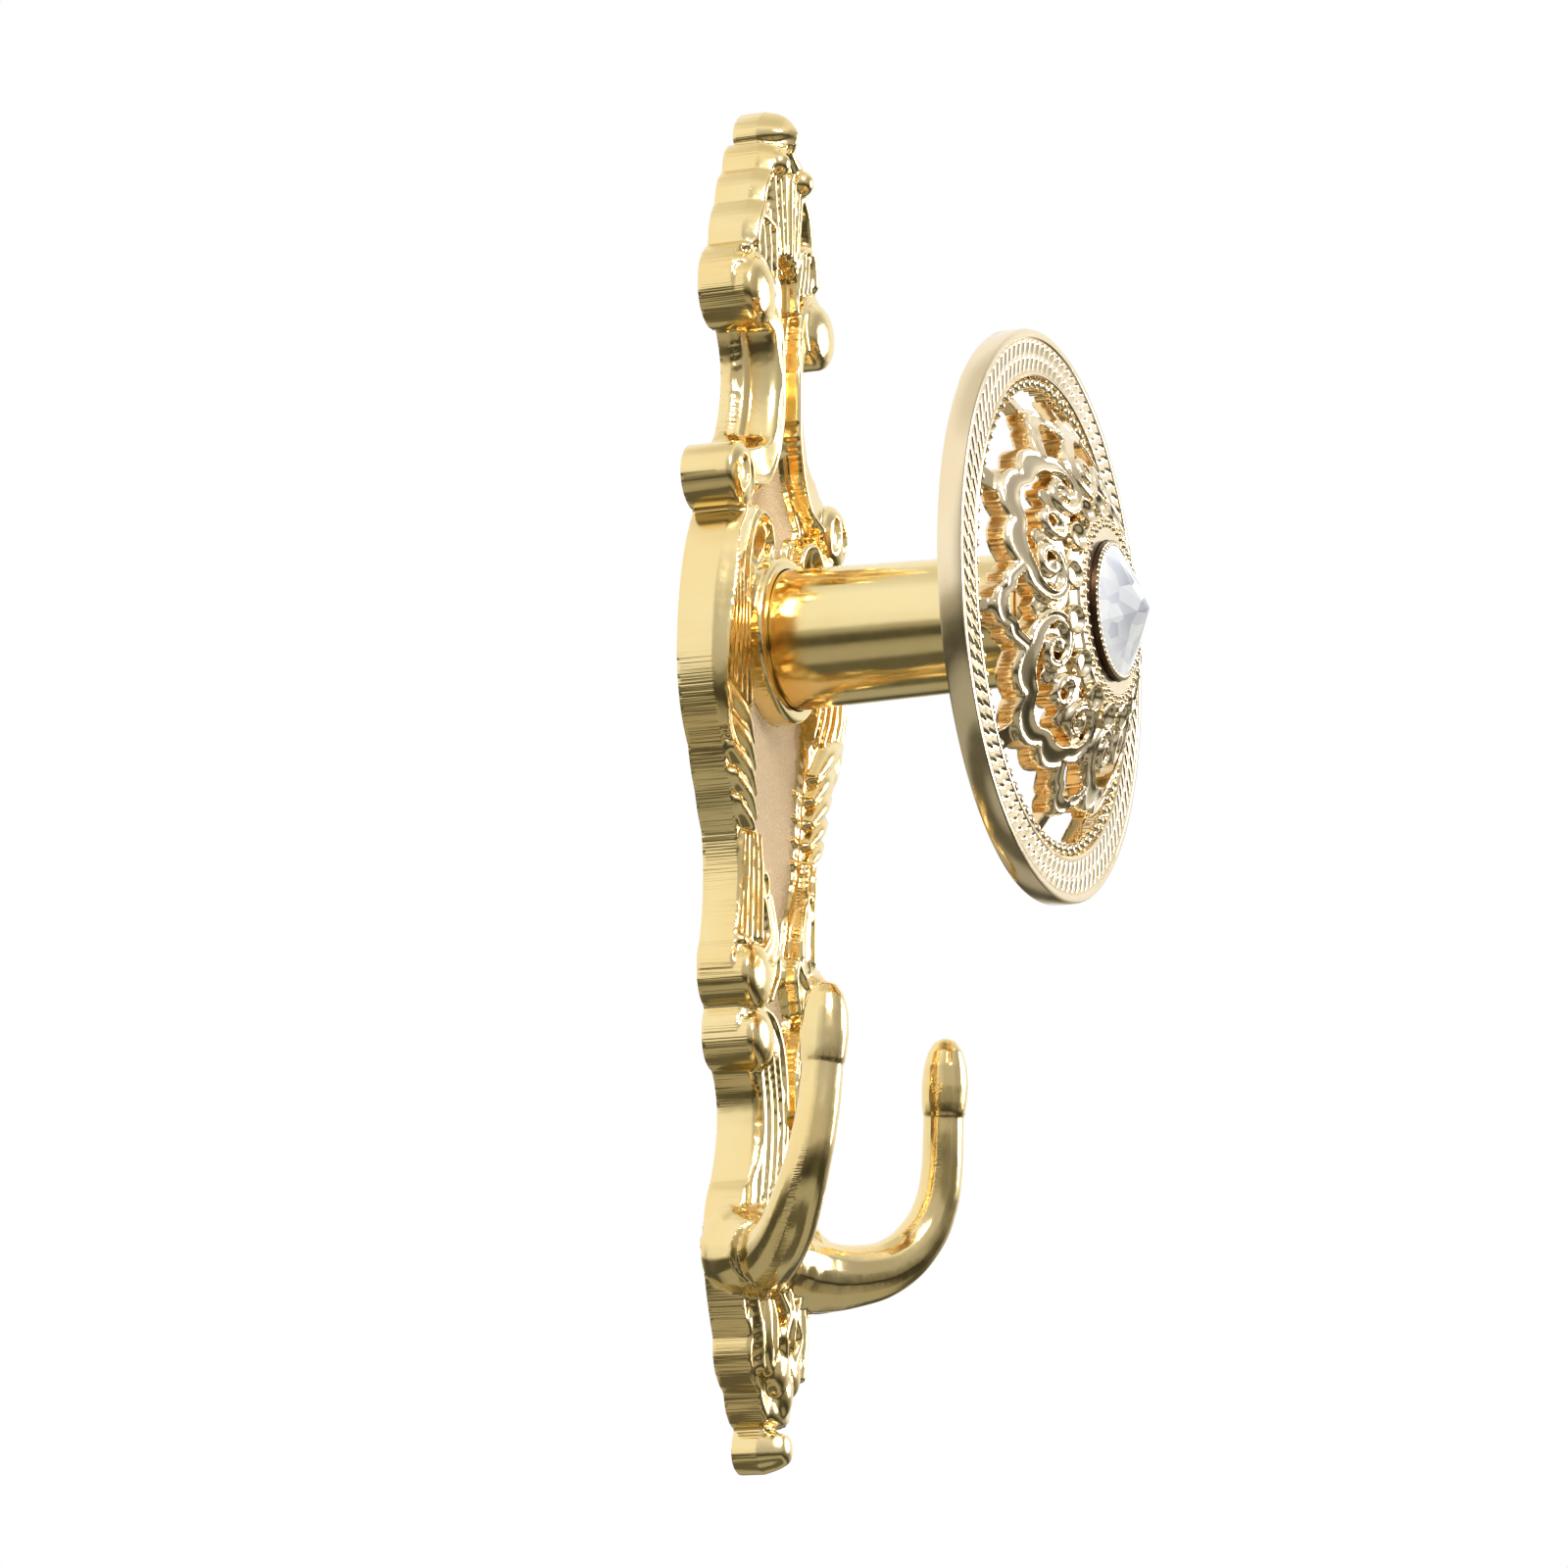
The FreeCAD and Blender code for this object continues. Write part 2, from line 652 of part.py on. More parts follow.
def make_post():
    bar = bound("Part::Cone", "post_bar", Radius1="Sizes.post_foot_radius",
                Radius2="Sizes.post_tip_radius", Height="Sizes.post_length")
    place_along(bar, "Sizes.post_seat")
    back = bound("Part::Cylinder", "post_back_hole", Radius="Sizes.screw_radius + Sizes.fit_gap",
                 Height="Sizes.screw_reach + Sizes.hole_spare")
    place_along(back, "Sizes.head_recess")
    front = bound("Part::Cylinder", "post_front_hole", Radius="Sizes.screw_radius + Sizes.fit_gap",
                  Height="Sizes.stud_in_post + Sizes.hole_spare")
    place_along(front, "Sizes.post_seat + Sizes.post_length"
                       " - Sizes.stud_in_post - Sizes.hole_spare")
    return cut_piece("post", bar, [back, front])


def make_screw():
    head = bound("Part::Cylinder", "screw_head", Radius="Sizes.screw_head_radius",
                 Height="Sizes.screw_head_height")
    place_along(head, "Sizes.head_recess - Sizes.screw_head_height")
    shank = bound("Part::Cylinder", "screw_shank", Radius="Sizes.screw_radius",
                  Height="Sizes.screw_reach")
    place_along(shank, "Sizes.head_recess")
    whole = doc.addObject("Part::Fuse", "screw_whole")
    whole.Base = head
    whole.Tool = shank
    slot = bound("Part::Box", "screw_slot", Length="3 * Sizes.screw_head_radius",
                 Width="Sizes.slot_width", Height="2 * Sizes.slot_depth")
    slot.setExpression("Placement.Base.x", "-1.5 * Sizes.screw_head_radius")
    slot.setExpression("Placement.Base.z", "-Sizes.slot_width / 2")
    place_along(slot, "Sizes.head_recess - Sizes.screw_head_height - Sizes.slot_depth")
    return cut_piece("centre_screw", whole, [slot])


def make_stud():
    stud = bound("Part::Cylinder", "stud", Radius="Sizes.screw_radius",
                 Height="Sizes.stud_in_post + Sizes.stud_in_rosette")
    place_along(stud, "Sizes.post_seat + Sizes.post_length - Sizes.stud_in_post")
    stud.Label = "rosette_stud"
    return stud


def make_cup():
    outside = bound("Part::Cylinder", "cup_outside", Radius="Sizes.cup_radius",
                    Height="Sizes.cup_height")
    base = "Sizes.post_seat + Sizes.post_length - Sizes.rim_back + Sizes.rim_depth" \
           " - Sizes.dome_sink + Sizes.dome_rise - Sizes.cup_sink"
    place_along(outside, base)
    inside = bound("Part::Cylinder", "cup_inside", Radius="Sizes.cup_radius - Sizes.cup_wall",
                   Height="Sizes.cup_height")
    place_along(inside, base + " + Sizes.cup_wall")
    return cut_piece("crystal_cup", outside, [inside])


def make_shaped(name, shape):
    piece = doc.addObject("Part::Feature", name)
    piece.Shape = shape
    piece.Placement = FreeCAD.Placement()
    piece.Label = name
    return piece


pieces = [
    make_shaped("backplate", backplate()),
    make_post(),
    make_screw(),
    make_stud(),
    make_shaped("rosette", rosette()),
    make_cup(),
    make_shaped("crystal", crystal()),
]
doc.recompute()

for item in doc.Objects:
    if "Invalid" in item.State or "Error" in item.State:
        raise ValueError("%s did not compute: %s" % (item.Label, item.State))

os.makedirs("parts", exist_ok=True)
for piece in pieces:
    shape = piece.Shape
    if shape.isNull() or not shape.isValid():
        raise ValueError("%s is not a valid shape" % piece.Label)
    shape.exportStep(os.path.join("parts", piece.Label + ".step"))
    print("%s: %d solid, %.0f mm3" % (piece.Label, len(shape.Solids), shape.Volume))
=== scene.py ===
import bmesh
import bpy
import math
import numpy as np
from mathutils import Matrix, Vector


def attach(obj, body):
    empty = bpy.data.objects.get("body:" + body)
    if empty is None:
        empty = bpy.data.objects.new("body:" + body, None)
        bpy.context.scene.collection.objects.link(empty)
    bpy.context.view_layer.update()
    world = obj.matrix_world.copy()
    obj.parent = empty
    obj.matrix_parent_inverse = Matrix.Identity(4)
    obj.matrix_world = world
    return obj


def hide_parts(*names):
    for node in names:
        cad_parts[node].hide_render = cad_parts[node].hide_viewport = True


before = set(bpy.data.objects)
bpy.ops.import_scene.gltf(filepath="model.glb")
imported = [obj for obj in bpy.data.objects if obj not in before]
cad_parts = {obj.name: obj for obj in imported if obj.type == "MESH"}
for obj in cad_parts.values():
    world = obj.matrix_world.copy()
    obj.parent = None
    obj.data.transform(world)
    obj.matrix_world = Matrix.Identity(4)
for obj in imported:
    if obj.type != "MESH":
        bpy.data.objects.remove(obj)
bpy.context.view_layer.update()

# %% [markdown]
# # A cast curtain holdback
#
# A holdback is screwed to the wall beside a window, and the curtain is drawn behind its
# rosette. This one is a gilt casting: a carved back plate with two small hooks at its foot, a
# tapered post, and an openwork rosette with a cut crystal in its middle.
#
# The CAD model gives the frame: every size below sits on it. Here the plain solids get the
# carving, the lattice, the beads and the metal. Lengths are drawn in millimetres, and turned
# into Blender's metres only where a mesh is made.

MM = 0.001

# %% [markdown]
# ## Working by hand, in code
#
# Blender's operators act on whatever is selected, and after loading the frame all of its nodes
# are. So each piece starts by letting go of everything. A few small helpers do what a hand does
# all the time: make an object from points and faces, use it as the active one, apply a modifier
# or a place, and join pieces.

# %% Small helpers
def let_go():
    if bpy.context.object and bpy.context.object.mode != "OBJECT":
        bpy.ops.object.mode_set(mode="OBJECT")
    bpy.ops.object.select_all(action="DESELECT")


def take(piece):
    """Makes a piece the only selected one, and the active one."""
    let_go()
    piece.select_set(True)
    bpy.context.view_layer.objects.active = piece
    return piece


def solid_of(name, points_mm, faces):
    """A mesh object from points in millimetres and lists of corner numbers."""
    mesh = bpy.data.meshes.new(name)
    mesh.from_pydata([tuple(p) for p in np.asarray(points_mm) * MM], [], faces)
    piece = bpy.data.objects.new(name, mesh)
    bpy.context.collection.objects.link(piece)
    return take(piece)


def modify(piece, kind, **settings):
    """Adds a modifier with its settings and applies it."""
    take(piece)
    modifier = piece.modifiers.new(kind.title(), kind)
    for key, value in settings.items():
        setattr(modifier, key, value)
    bpy.ops.object.modifier_apply(modifier=modifier.name)
    return piece


def applied(piece):
    """Puts a piece's place, turn and scale into its mesh."""
    take(piece)
    bpy.ops.object.transform_apply(location=True, rotation=True, scale=True)
    return piece


def extruded_sheet():
    """Cleans the active sheet of faces and extrudes it, with the new faces left selected."""
    bpy.ops.object.mode_set(mode="EDIT")
    bpy.ops.mesh.select_all(action="SELECT")
    bpy.ops.mesh.delete_loose()
    bpy.ops.mesh.select_all(action="SELECT")
    bpy.ops.mesh.extrude_region_move()


def count_triangles(piece):
    return sum(len(p.vertices) - 2 for p in piece.data.polygons)


def joined(pieces, name):
    let_go()
    for piece in pieces:
        piece.select_set(True)
    bpy.context.view_layer.objects.active = pieces[0]
    bpy.ops.object.join()
    whole = bpy.context.object
    whole.name = name
    return whole


def outward(piece):
    """Merges doubles and turns every face outwards."""
    take(piece)
    bpy.ops.object.mode_set(mode="EDIT")
    bpy.ops.mesh.select_all(action="SELECT")
    bpy.ops.mesh.remove_doubles(threshold=0.00001)
    bpy.ops.mesh.normals_make_consistent(inside=False)
    bpy.ops.object.mode_set(mode="OBJECT")
    return piece


def report(piece):
    corners = np.array([v.co for v in piece.data.vertices]) / MM
    print("%s: %d faces, from %s to %s mm" % (
        piece.name, len(piece.data.polygons), corners.min(0).round(1), corners.max(0).round(1)))


# %% [markdown]
# ## The camera
#
# The photograph looks at the holdback from its left side, a little from below, with a long
# lens, so that near and far edges keep nearly the same scale. The camera is placed by two
# angles and a distance from the point that it aims at.

# %% Camera
AIM = Vector((0, -5.97, -18.89)) * MM
AZIMUTH = math.radians(-69.04)
ELEVATION = math.radians(-12.415)
DISTANCE = 703.05 * MM
towards_camera = Vector((math.sin(AZIMUTH) * math.cos(ELEVATION),
                         -math.cos(AZIMUTH) * math.cos(ELEVATION),
                         math.sin(ELEVATION)))
camera_data = bpy.data.cameras.new("camera")
camera_data.lens = 125.7
camera_data.sensor_width = 36
camera_data.clip_start = 0.01
camera = bpy.data.objects.new("camera", camera_data)
bpy.context.collection.objects.link(camera)
camera.location = AIM + towards_camera * DISTANCE
camera.rotation_euler = towards_camera.to_track_quat("Z", "Y").to_euler()
bpy.context.scene.camera = camera
print("camera at", camera.location)

# %% [markdown]
# ## Light for polished metal
#
# Polished gold has hardly any colour of its own under a lamp: it shows the room. A product
# studio is a white tent with a few dark strips, and those strips give the metal its dark
# streaks. The world below is such a tent. It is white above, with a soft dark band under the
# horizon and another one near the ground. Two soft patches are darker: one straight in front of
# the rosette and one on the left, where the tent's door and the studio behind it are. The darker
# a level is, the warmer it is, as gold beside gold makes its own shade warm. The camera sees
# plain white, and so would a ray that came through clear glass.

# %% Studio tent
TENT = [  # height of the direction, from straight down to straight up, and how bright it is
    (0.00, 0.40), (0.03, 0.12), (0.08, 0.12), (0.12, 0.40), (0.20, 0.40), (0.25, 0.32),
    (0.30, 0.08), (0.37, 0.09), (0.46, 0.42), (0.53, 0.95), (0.70, 1.00), (0.90, 1.00), (1.00, 0.72),
]
SHADES = [  # direction of a patch, cosines where it begins and is full, and how dark it is
    ((0.35, -0.90, 0.20), 0.62, 0.93, 0.55),
    ((-0.80, -0.55, 0.15), 0.60, 0.95, 0.45),
]


def studio_tent():
    world = bpy.data.worlds.new("studio")
    bpy.context.scene.world = world
    world.use_nodes = True
    nodes = world.node_tree.nodes
    links = world.node_tree.links
    nodes.clear()
    where = nodes.new("ShaderNodeTexCoord")
    split = nodes.new("ShaderNodeSeparateXYZ")
    share = nodes.new("ShaderNodeMapRange")
    share.inputs["From Min"].default_value = -1
    share.inputs["From Max"].default_value = 1
    ramp = nodes.new("ShaderNodeValToRGB")
    ramp.color_ramp.interpolation = "EASE"
    stops = ramp.color_ramp.elements
    for i, (place, level) in enumerate(TENT):
        stop = stops[i] if i < 2 else stops.new(place)
        stop.position = place
        stop.color = (level, level * (0.93 + 0.07 * level), level * (0.62 + 0.36 * level), 1)
    product = nodes.new("ShaderNodeMath")
    product.operation = "MULTIPLY"
    for k, (direction, start, full, depth) in enumerate(SHADES):
        towards = nodes.new("ShaderNodeVectorMath")
        towards.operation = "DOT_PRODUCT"
        towards.inputs[1].default_value = Vector(direction).normalized()
        shade = nodes.new("ShaderNodeMapRange")
        shade.interpolation_type = "SMOOTHSTEP"
        shade.inputs["From Min"].default_value = start
        shade.inputs["From Max"].default_value = full
        shade.inputs["To Min"].default_value = 1.0
        shade.inputs["To Max"].default_value = 1 - depth
        links.new(where.outputs["Generated"], towards.inputs[0])
        links.new(towards.outputs["Value"], shade.inputs["Value"])
        links.new(shade.outputs[0], product.inputs[k])
    tent = nodes.new("ShaderNodeBackground")
    plain = nodes.new("ShaderNodeBackground")
    plain.inputs["Color"].default_value = (1, 1, 1, 1)
    ray = nodes.new("ShaderNodeLightPath")
    seen = nodes.new("ShaderNodeMath")
    seen.operation = "MAXIMUM"
    mix = nodes.new("ShaderNodeMixShader")
    out = nodes.new("ShaderNodeOutputWorld")
    links.new(where.outputs["Generated"], split.inputs[0])
    links.new(split.outputs["Z"], share.inputs["Value"])
    links.new(share.outputs[0], ramp.inputs["Fac"])
    links.new(ramp.outputs["Color"], tent.inputs["Color"])
    links.new(product.outputs[0], tent.inputs["Strength"])
    links.new(ray.outputs["Is Camera Ray"], seen.inputs[0])
    links.new(ray.outputs["Is Transmission Ray"], seen.inputs[1])
    links.new(seen.outputs[0], mix.inputs[0])
    links.new(tent.outputs[0], mix.inputs[1])
    links.new(plain.outputs[0], mix.inputs[2])
    links.new(mix.outputs[0], out.inputs["Surface"])
    return world


studio_tent()
bpy.context.scene.view_settings.view_transform = "Standard"
print("tent with", len(TENT), "levels")

# %% Soft lamps
LAMPS = [  # name, place in metres, watts and width in metres
    ("key_lamp", (-0.75, -0.75, 0.75), 10.0, 0.45),
    ("fill_lamp", (0.7, -0.8, 0.2), 5.0, 0.6),
]


def soft_lamp(name, place, power, width):
    data = bpy.data.lights.new(name, "AREA")
    data.shape = "DISK"
    data.size = width
    data.energy = power
    lamp = bpy.data.objects.new(name, data)
    bpy.context.collection.objects.link(lamp)
    lamp.location = place
    lamp.rotation_euler = (Vector(place) - AIM).to_track_quat("Z", "Y").to_euler()
    return lamp


for lamp_settings in LAMPS:
    soft_lamp(*lamp_settings)
print("soft lamps:", len(LAMPS))

# %% [markdown]
# ## The floor
#
# The holdback hangs on a wall, high over a plain pale floor. The floor lies well below the
# pendant, so the camera, which looks slightly upwards, never sees its edge. To the camera and
# in the metal it is as white as the background, and it still takes the object's soft shadow.

# %% Floor
FLOOR_WIDTH = 6.0  # in metres, as its height is
FLOOR_HEIGHT = -0.42
let_go()
bpy.ops.mesh.primitive_plane_add(size=FLOOR_WIDTH, location=(0, 0, FLOOR_HEIGHT))
floor = bpy.context.object
floor.name = "floor"
floor_white = bpy.data.materials.new("floor_white")
floor_white.use_nodes = True
floor_nodes = floor_white.node_tree.nodes
floor_links = floor_white.node_tree.links
plain_floor = floor_nodes["Principled BSDF"]
plain_floor.inputs["Base Color"].default_value = (0.9, 0.9, 0.9, 1)
plain_floor.inputs["Roughness"].default_value = 0.9
floor_ray = floor_nodes.new("ShaderNodeLightPath")
floor_gap = floor_nodes.new("ShaderNodeBsdfTransparent")
floor_mix = floor_nodes.new("ShaderNodeMixShader")
floor_links.new(floor_ray.outputs["Is Glossy Ray"], floor_mix.inputs[0])
floor_links.new(plain_floor.outputs[0], floor_mix.inputs[1])
floor_links.new(floor_gap.outputs[0], floor_mix.inputs[2])
floor_links.new(floor_mix.outputs[0], floor_nodes["Material Output"].inputs["Surface"])
floor.data.materials.append(floor_white)
print("floor at", floor.location.z)

# %% [markdown]
# ## The back plate: one casting, drawn as a relief
#
# The plate's carving is a low relief: scroll bands, ribs, leaves and shells that stand a few
# millimetres out of a sunk, grained field. A sculptor would press it in wax. In Blender it
# could be modelled band by band, but dozens of ribs that run into each other never join
# cleanly that way. So the relief is drawn as strokes with a width and a height, as on paper.
# A fine grid takes the highest stroke at each point, the grid is closed to a solid, and the
# round parts, such as curls and hooks, are modelled separately and melted in by a voxel
# remesh, as solder would. Only the right half is drawn: the left one mirrors it.

# %% The plate's outline
OUTLINE_START = (0.0, 72.4)
OUTLINE = [  # middle and end of each arc of the right half, in millimetres, as (x, z)
    ((3.1, 69.4), (2.7, 66.9)),
    ((5.9, 65.6), (7.2, 62.0)),
    ((9.0, 59.9), (9.7, 57.0)),
    ((11.5, 54.0), (12.0, 50.6)),
    ((14.9, 47.6), (15.5, 43.4)),
    ((13.4, 40.6), (9.5, 40.2)),
    ((7.4, 33.9), (9.4, 26.0)),
    ((12.4, 23.3), (17.6, 22.2)),
    ((21.2, 17.8), (16.6, 13.9)),
    ((20.8, 4.6), (22.1, -6.5)),
    ((21.0, -12.4), (18.2, -17.3)),
    ((17.3, -20.1), (15.9, -22.6)),
    ((15.0, -25.0), (13.7, -27.2)),
    ((13.0, -34.0), (14.2, -41.6)),
    ((15.0, -45.6), (12.5, -49.9)),
    ((13.1, -54.0), (9.7, -57.6)),
    ((8.0, -63.6), (10.2, -71.4)),
    ((12.6, -79.8), (9.2, -90.9)),
    ((8.6, -94.8), (5.6, -97.4)),
    ((4.3, -100.3), (1.9, -101.6)),
    ((2.8, -105.3), (0.0, -107.2)),
]


def through(start, middle, end, count):
    """Points of a smooth arc from a start through a middle, without its end."""
    points = []
    for i in range(count):
        t = i / count
        a = (1 - t) * (1 - 2 * t)
        b = 4 * t * (1 - t)
        c = t * (2 * t - 1)
        points.append([a * p + b * q + c * r for p, q, r in zip(start, middle, end)])
    return points


def right_outline():
    points = []
    start = OUTLINE_START
    for middle, end in OUTLINE:
        points += through(start, middle, end, 14)
        start = end
    return np.array(points + [list(OUTLINE[-1][1])])


RIGHT_EDGE = right_outline()
print("outline points:", len(RIGHT_EDGE))

# %% A grid over the right half
GRID_STEP = 0.25
GRID_X = np.arange(0.0, 23.3, GRID_STEP)
GRID_Z = np.arange(-107.75, 73.0, GRID_STEP)
PX, PZ = np.meshgrid(GRID_X, GRID_Z)
LONG_LINE = 200  # lines with more points than this are outlines
OUTLINE_REACH = 6.0  # how far round an outline its distance is worked out
STROKE_REACH = 4.0  # the same round a stroke, past its half width


def nearest_on(line, values):
    """For each grid point: distance to a line of points, its nearest point, and the line's
    values there."""
    best = np.full(PX.shape, 1e9)
    foot = np.zeros(PX.shape + (2,))
    found = [np.zeros(PX.shape) for _ in values[0]]
    for (a, b), (va, vb) in zip(zip(line, line[1:]), zip(values, values[1:])):
        along = b - a
        length2 = max(along @ along, 1e-9)
        reach = OUTLINE_REACH if len(line) > LONG_LINE else STROKE_REACH + max(va[0], vb[0])
        cols = np.where((GRID_X > min(a[0], b[0]) - reach) & (GRID_X < max(a[0], b[0]) + reach))[0]
        rows = np.where((GRID_Z > min(a[1], b[1]) - reach) & (GRID_Z < max(a[1], b[1]) + reach))[0]
        if not len(cols) or not len(rows):
            continue
        part = np.s_[rows[0]:rows[-1] + 1, cols[0]:cols[-1] + 1]
        x, z = PX[part], PZ[part]
        t = np.clip(((x - a[0]) * along[0] + (z - a[1]) * along[1]) / length2, 0, 1)
        fx, fz = a[0] + t * along[0], a[1] + t * along[1]
        distance = np.hypot(x - fx, z - fz)
        closer = distance < best[part]
        best[part] = np.where(closer, distance, best[part])
        foot[part + (0,)] = np.where(closer, fx, foot[part + (0,)])
        foot[part + (1,)] = np.where(closer, fz, foot[part + (1,)])
        for k, value in enumerate(found):
            value[part] = np.where(closer, va[k] + t * (vb[k] - va[k]), value[part])
    return best, foot, found


def inside_of(polygon):
    """Which grid points a closed polygon holds."""
    held = np.zeros(PX.shape, bool)
    x1, z1 = polygon[-1]
    for x2, z2 in polygon:
        crosses = (z1 > PZ) != (z2 > PZ)
        if z1 != z2:
            held ^= crosses & (PX < (x2 - x1) * (PZ - z1) / (z2 - z1) + x1)
        x1, z1 = x2, z2
    return held


edge_distance, edge_foot, _ = nearest_on(RIGHT_EDGE, np.zeros((len(RIGHT_EDGE), 1)))
whole_edge = np.vstack([RIGHT_EDGE, RIGHT_EDGE[::-1] * (-1, 1)])
within = inside_of(whole_edge)
print("grid points inside the outline:", int(within.sum()))

# %% [markdown]
# ## Strokes
#
# A stroke is a few points, each with a half width and a height above the wall. A smooth line
# goes through them. A ridge is round across, a band has a hollow between two raised edges, a
# groove goes down instead of up, and a dome or a dish is a round spot. The grained field is
# cut last of the broad shapes, and the fine beads go on top of it.

# %% Strokes on the grid
PLAIN_LEVEL = 4.9  # height of the plate where nothing is drawn
relief = np.full(PX.shape, PLAIN_LEVEL)


def smooth_line(points, parts=8):
    """A smooth line through points of any length, with its widths and heights."""
    p = np.array(points, float)
    a = np.vstack([2 * p[0] - p[1], p, 2 * p[-1] - p[-2]])
    rows = []
    for i in range(1, len(a) - 2):
        for t in np.arange(parts) / parts:
            rows.append(0.5 * (2 * a[i] + (a[i + 1] - a[i - 1]) * t
                               + (2 * a[i - 1] - 5 * a[i] + 4 * a[i + 1] - a[i + 2]) * t ** 2
                               + (3 * a[i] - a[i - 1] - 3 * a[i + 1] + a[i + 2]) * t ** 3))
    return np.vstack(rows + [p[-1]])


def ridge(points, rise=None):
    """Round across, from its height at the middle down by its rise at the sides."""
    line = smooth_line(points)
    distance, _, (half, top) = nearest_on(line[:, :2], line[:, 2:4])
    half = np.maximum(half, 1e-6)
    drop = half if rise is None else rise
    across = np.clip(1 - (distance / half) ** 2, 0, 1)
    shape = top - drop * (1 - np.sqrt(across))
    relief[:] = np.where(distance < half, np.maximum(relief, shape), relief)


def band(points, hollow=0.5, lip=0.28):
    """Two raised edges with a hollow between them."""
    line = smooth_line(points)
    distance, _, (half, top) = nearest_on(line[:, :2], line[:, 2:4])
    half = np.maximum(half, 1e-6)
    share = distance / half
    inner = 1 - lip
    bowl = top - hollow * np.clip(1 - (share / inner) ** 2, 0, 1)
    edge = top - half * lip * (1 - np.sqrt(np.clip(1 - ((share - inner) / lip) ** 2, 0, 1)))
    shape = np.where(share < inner, bowl, edge)
    relief[:] = np.where(share < 1, np.maximum(relief, shape), relief)


def groove(points):
    """Carved down by its height at the middle."""
    line = smooth_line(points)
    distance, _, (half, depth) = nearest_on(line[:, :2], line[:, 2:4])
    share = np.clip(1 - (distance / np.maximum(half, 1e-6)) ** 2, 0, 1)
    relief[:] -= depth * share ** 1.5


def oval(x, z, half_x, half_z, lean=0):
    """How far each grid point is from an oval's middle, one at its edge."""
    turn = math.radians(lean)
    u = (PX - x) * math.cos(turn) + (PZ - z) * math.sin(turn)
    v = (PZ - z) * math.cos(turn) - (PX - x) * math.sin(turn)
    return np.hypot(u / half_x, v / half_z)


def dome(x, z, half_x, half_z, top, rise, lean=0):
    share = oval(x, z, half_x, half_z, lean)
    shape = top - rise * (1 - np.sqrt(np.clip(1 - share ** 2, 0, 1)))
    relief[:] = np.where(share < 1, np.maximum(relief, shape), relief)


def dish(x, z, half_x, half_z, level, depth, lean=0):
    """A bowl pressed into the relief, with its bottom at a level."""
    share = oval(x, z, half_x, half_z, lean)
    shape = level + depth * np.clip(share, 0, 1) ** 2
    relief[:] = np.where(share < 1, np.minimum(relief, shape), relief)


def slope(corners, heights):
    """A broad smooth surface that blends the heights given at its corners."""
    held = inside_of(np.array(corners, float))
    weight = np.zeros(PX.shape)
    total = np.zeros(PX.shape)
    for (x, z), height in zip(corners, heights):
        share = 1 / (np.hypot(PX - x, PZ - z) + 0.3) ** 2
        weight += share
        total += share * height
    relief[:] = np.where(held, total / weight, relief)


print("stroke tools ready")

# %% [markdown]
# ### Shell and upper curls
#
# The top of the plate is a shell: lobes along the edge, a fan of fine ribs in the middle, and
# a small sunk corner between them. A pair of big curls closes it below, with a smooth
# hollow spoon between them.

# %% Shell
slope([(0, 68), (4.5, 65.5), (7.5, 61.5), (12, 57), (12.6, 50), (10, 47.6), (3.6, 50), (0, 52)],
      [6.2, 6.2, 6.2, 6.1, 6.0, 5.8, 6.0, 6.0])
dish(7.6, 58.4, 2.0, 2.8, 5.2, 0.4, lean=-25)
ridge([(1.6, 66.2, 1.2, 7.0), (4.3, 64.6, 1.5, 7.1), (6.2, 62.2, 1.2, 6.9)])
ridge([(6.4, 61.6, 1.1, 6.8), (7.9, 59.6, 1.3, 6.9), (8.6, 57.2, 1.1, 6.8)])
ridge([(8.8, 56.6, 1.1, 6.8), (10.2, 54.0, 1.3, 6.9), (10.8, 51.2, 1.2, 6.8)])
ridge([(8.8, 55.0, 0.6, 6.7), (6.9, 54.9, 0.6, 6.9), (4.9, 54.1, 0.6, 7.0), (3.4, 52.2, 0.5, 6.9)])
for top_x, foot_x, top in ((0.0, 0.0, 7.2), (1.8, 1.1, 7.1), (3.6, 2.2, 7.0), (5.2, 3.3, 6.8)):
    ridge([(top_x, 62.4, 0.62, top), (0.5 * (top_x + foot_x), 57, 0.55, top),
           (foot_x, 51.6, 0.45, top)])
for share in (0, 0.33, 0.67, 1):
    x = 5.0 + 5.0 * share
    ridge([(x, 54.0, 0.55, 6.9 - 0.6 * share), (x - 0.5, 51.0, 0.6, 6.9 - 0.5 * share),
           (x - 0.9, 48.2, 0.5, 6.7 - 0.4 * share)])
dome(0, 69.4, 3.4, 3.4, 7.6, 2.6)
dome(0, 68.4, 2.4, 2.2, 8.0, 1.8)
print("shell: tallest at", round(float(relief.max()), 2), "mm")

# %% Spoon and neck
slope([(14.9, 46.6), (15.0, 42.4), (9.4, 40.5), (7.0, 34), (9.0, 26), (13.5, 22.4), (17, 19),
       (10, 17.4), (6.4, 20.6), (3.7, 26.5), (3.0, 34), (3.6, 41.4), (6.4, 46.4), (10, 48.6)],
      [5.6, 5.6, 6.8, 7.1, 7.0, 6.2, 5.8, 6.4, 6.9, 7.2, 7.3, 7.2, 6.8, 6.2])
dish(0, 46.6, 3.9, 5.4, 4.4, 2.1)
NECK_EDGE = [(14.4, 47.2, 0.5, 6.3), (10.4, 49.0, 0.55, 6.6), (6.8, 47.4, 0.6, 6.9), (4.4, 44.0, 0.6, 7.1),
             (3.3, 39.4, 0.6, 7.3), (3.0, 33.0, 0.6, 7.4), (3.4, 27.6, 0.6, 7.3), (5.0, 22.8, 0.6, 7.2),
             (8.0, 19.4, 0.6, 7.1), (12.4, 18.0, 0.6, 7.0)]
ridge(NECK_EDGE)
ridge([(3.6, 51.2, 0.5, 6.5), (4.2, 48.6, 0.5, 6.6), (4.0, 45.6, 0.4, 6.6)])
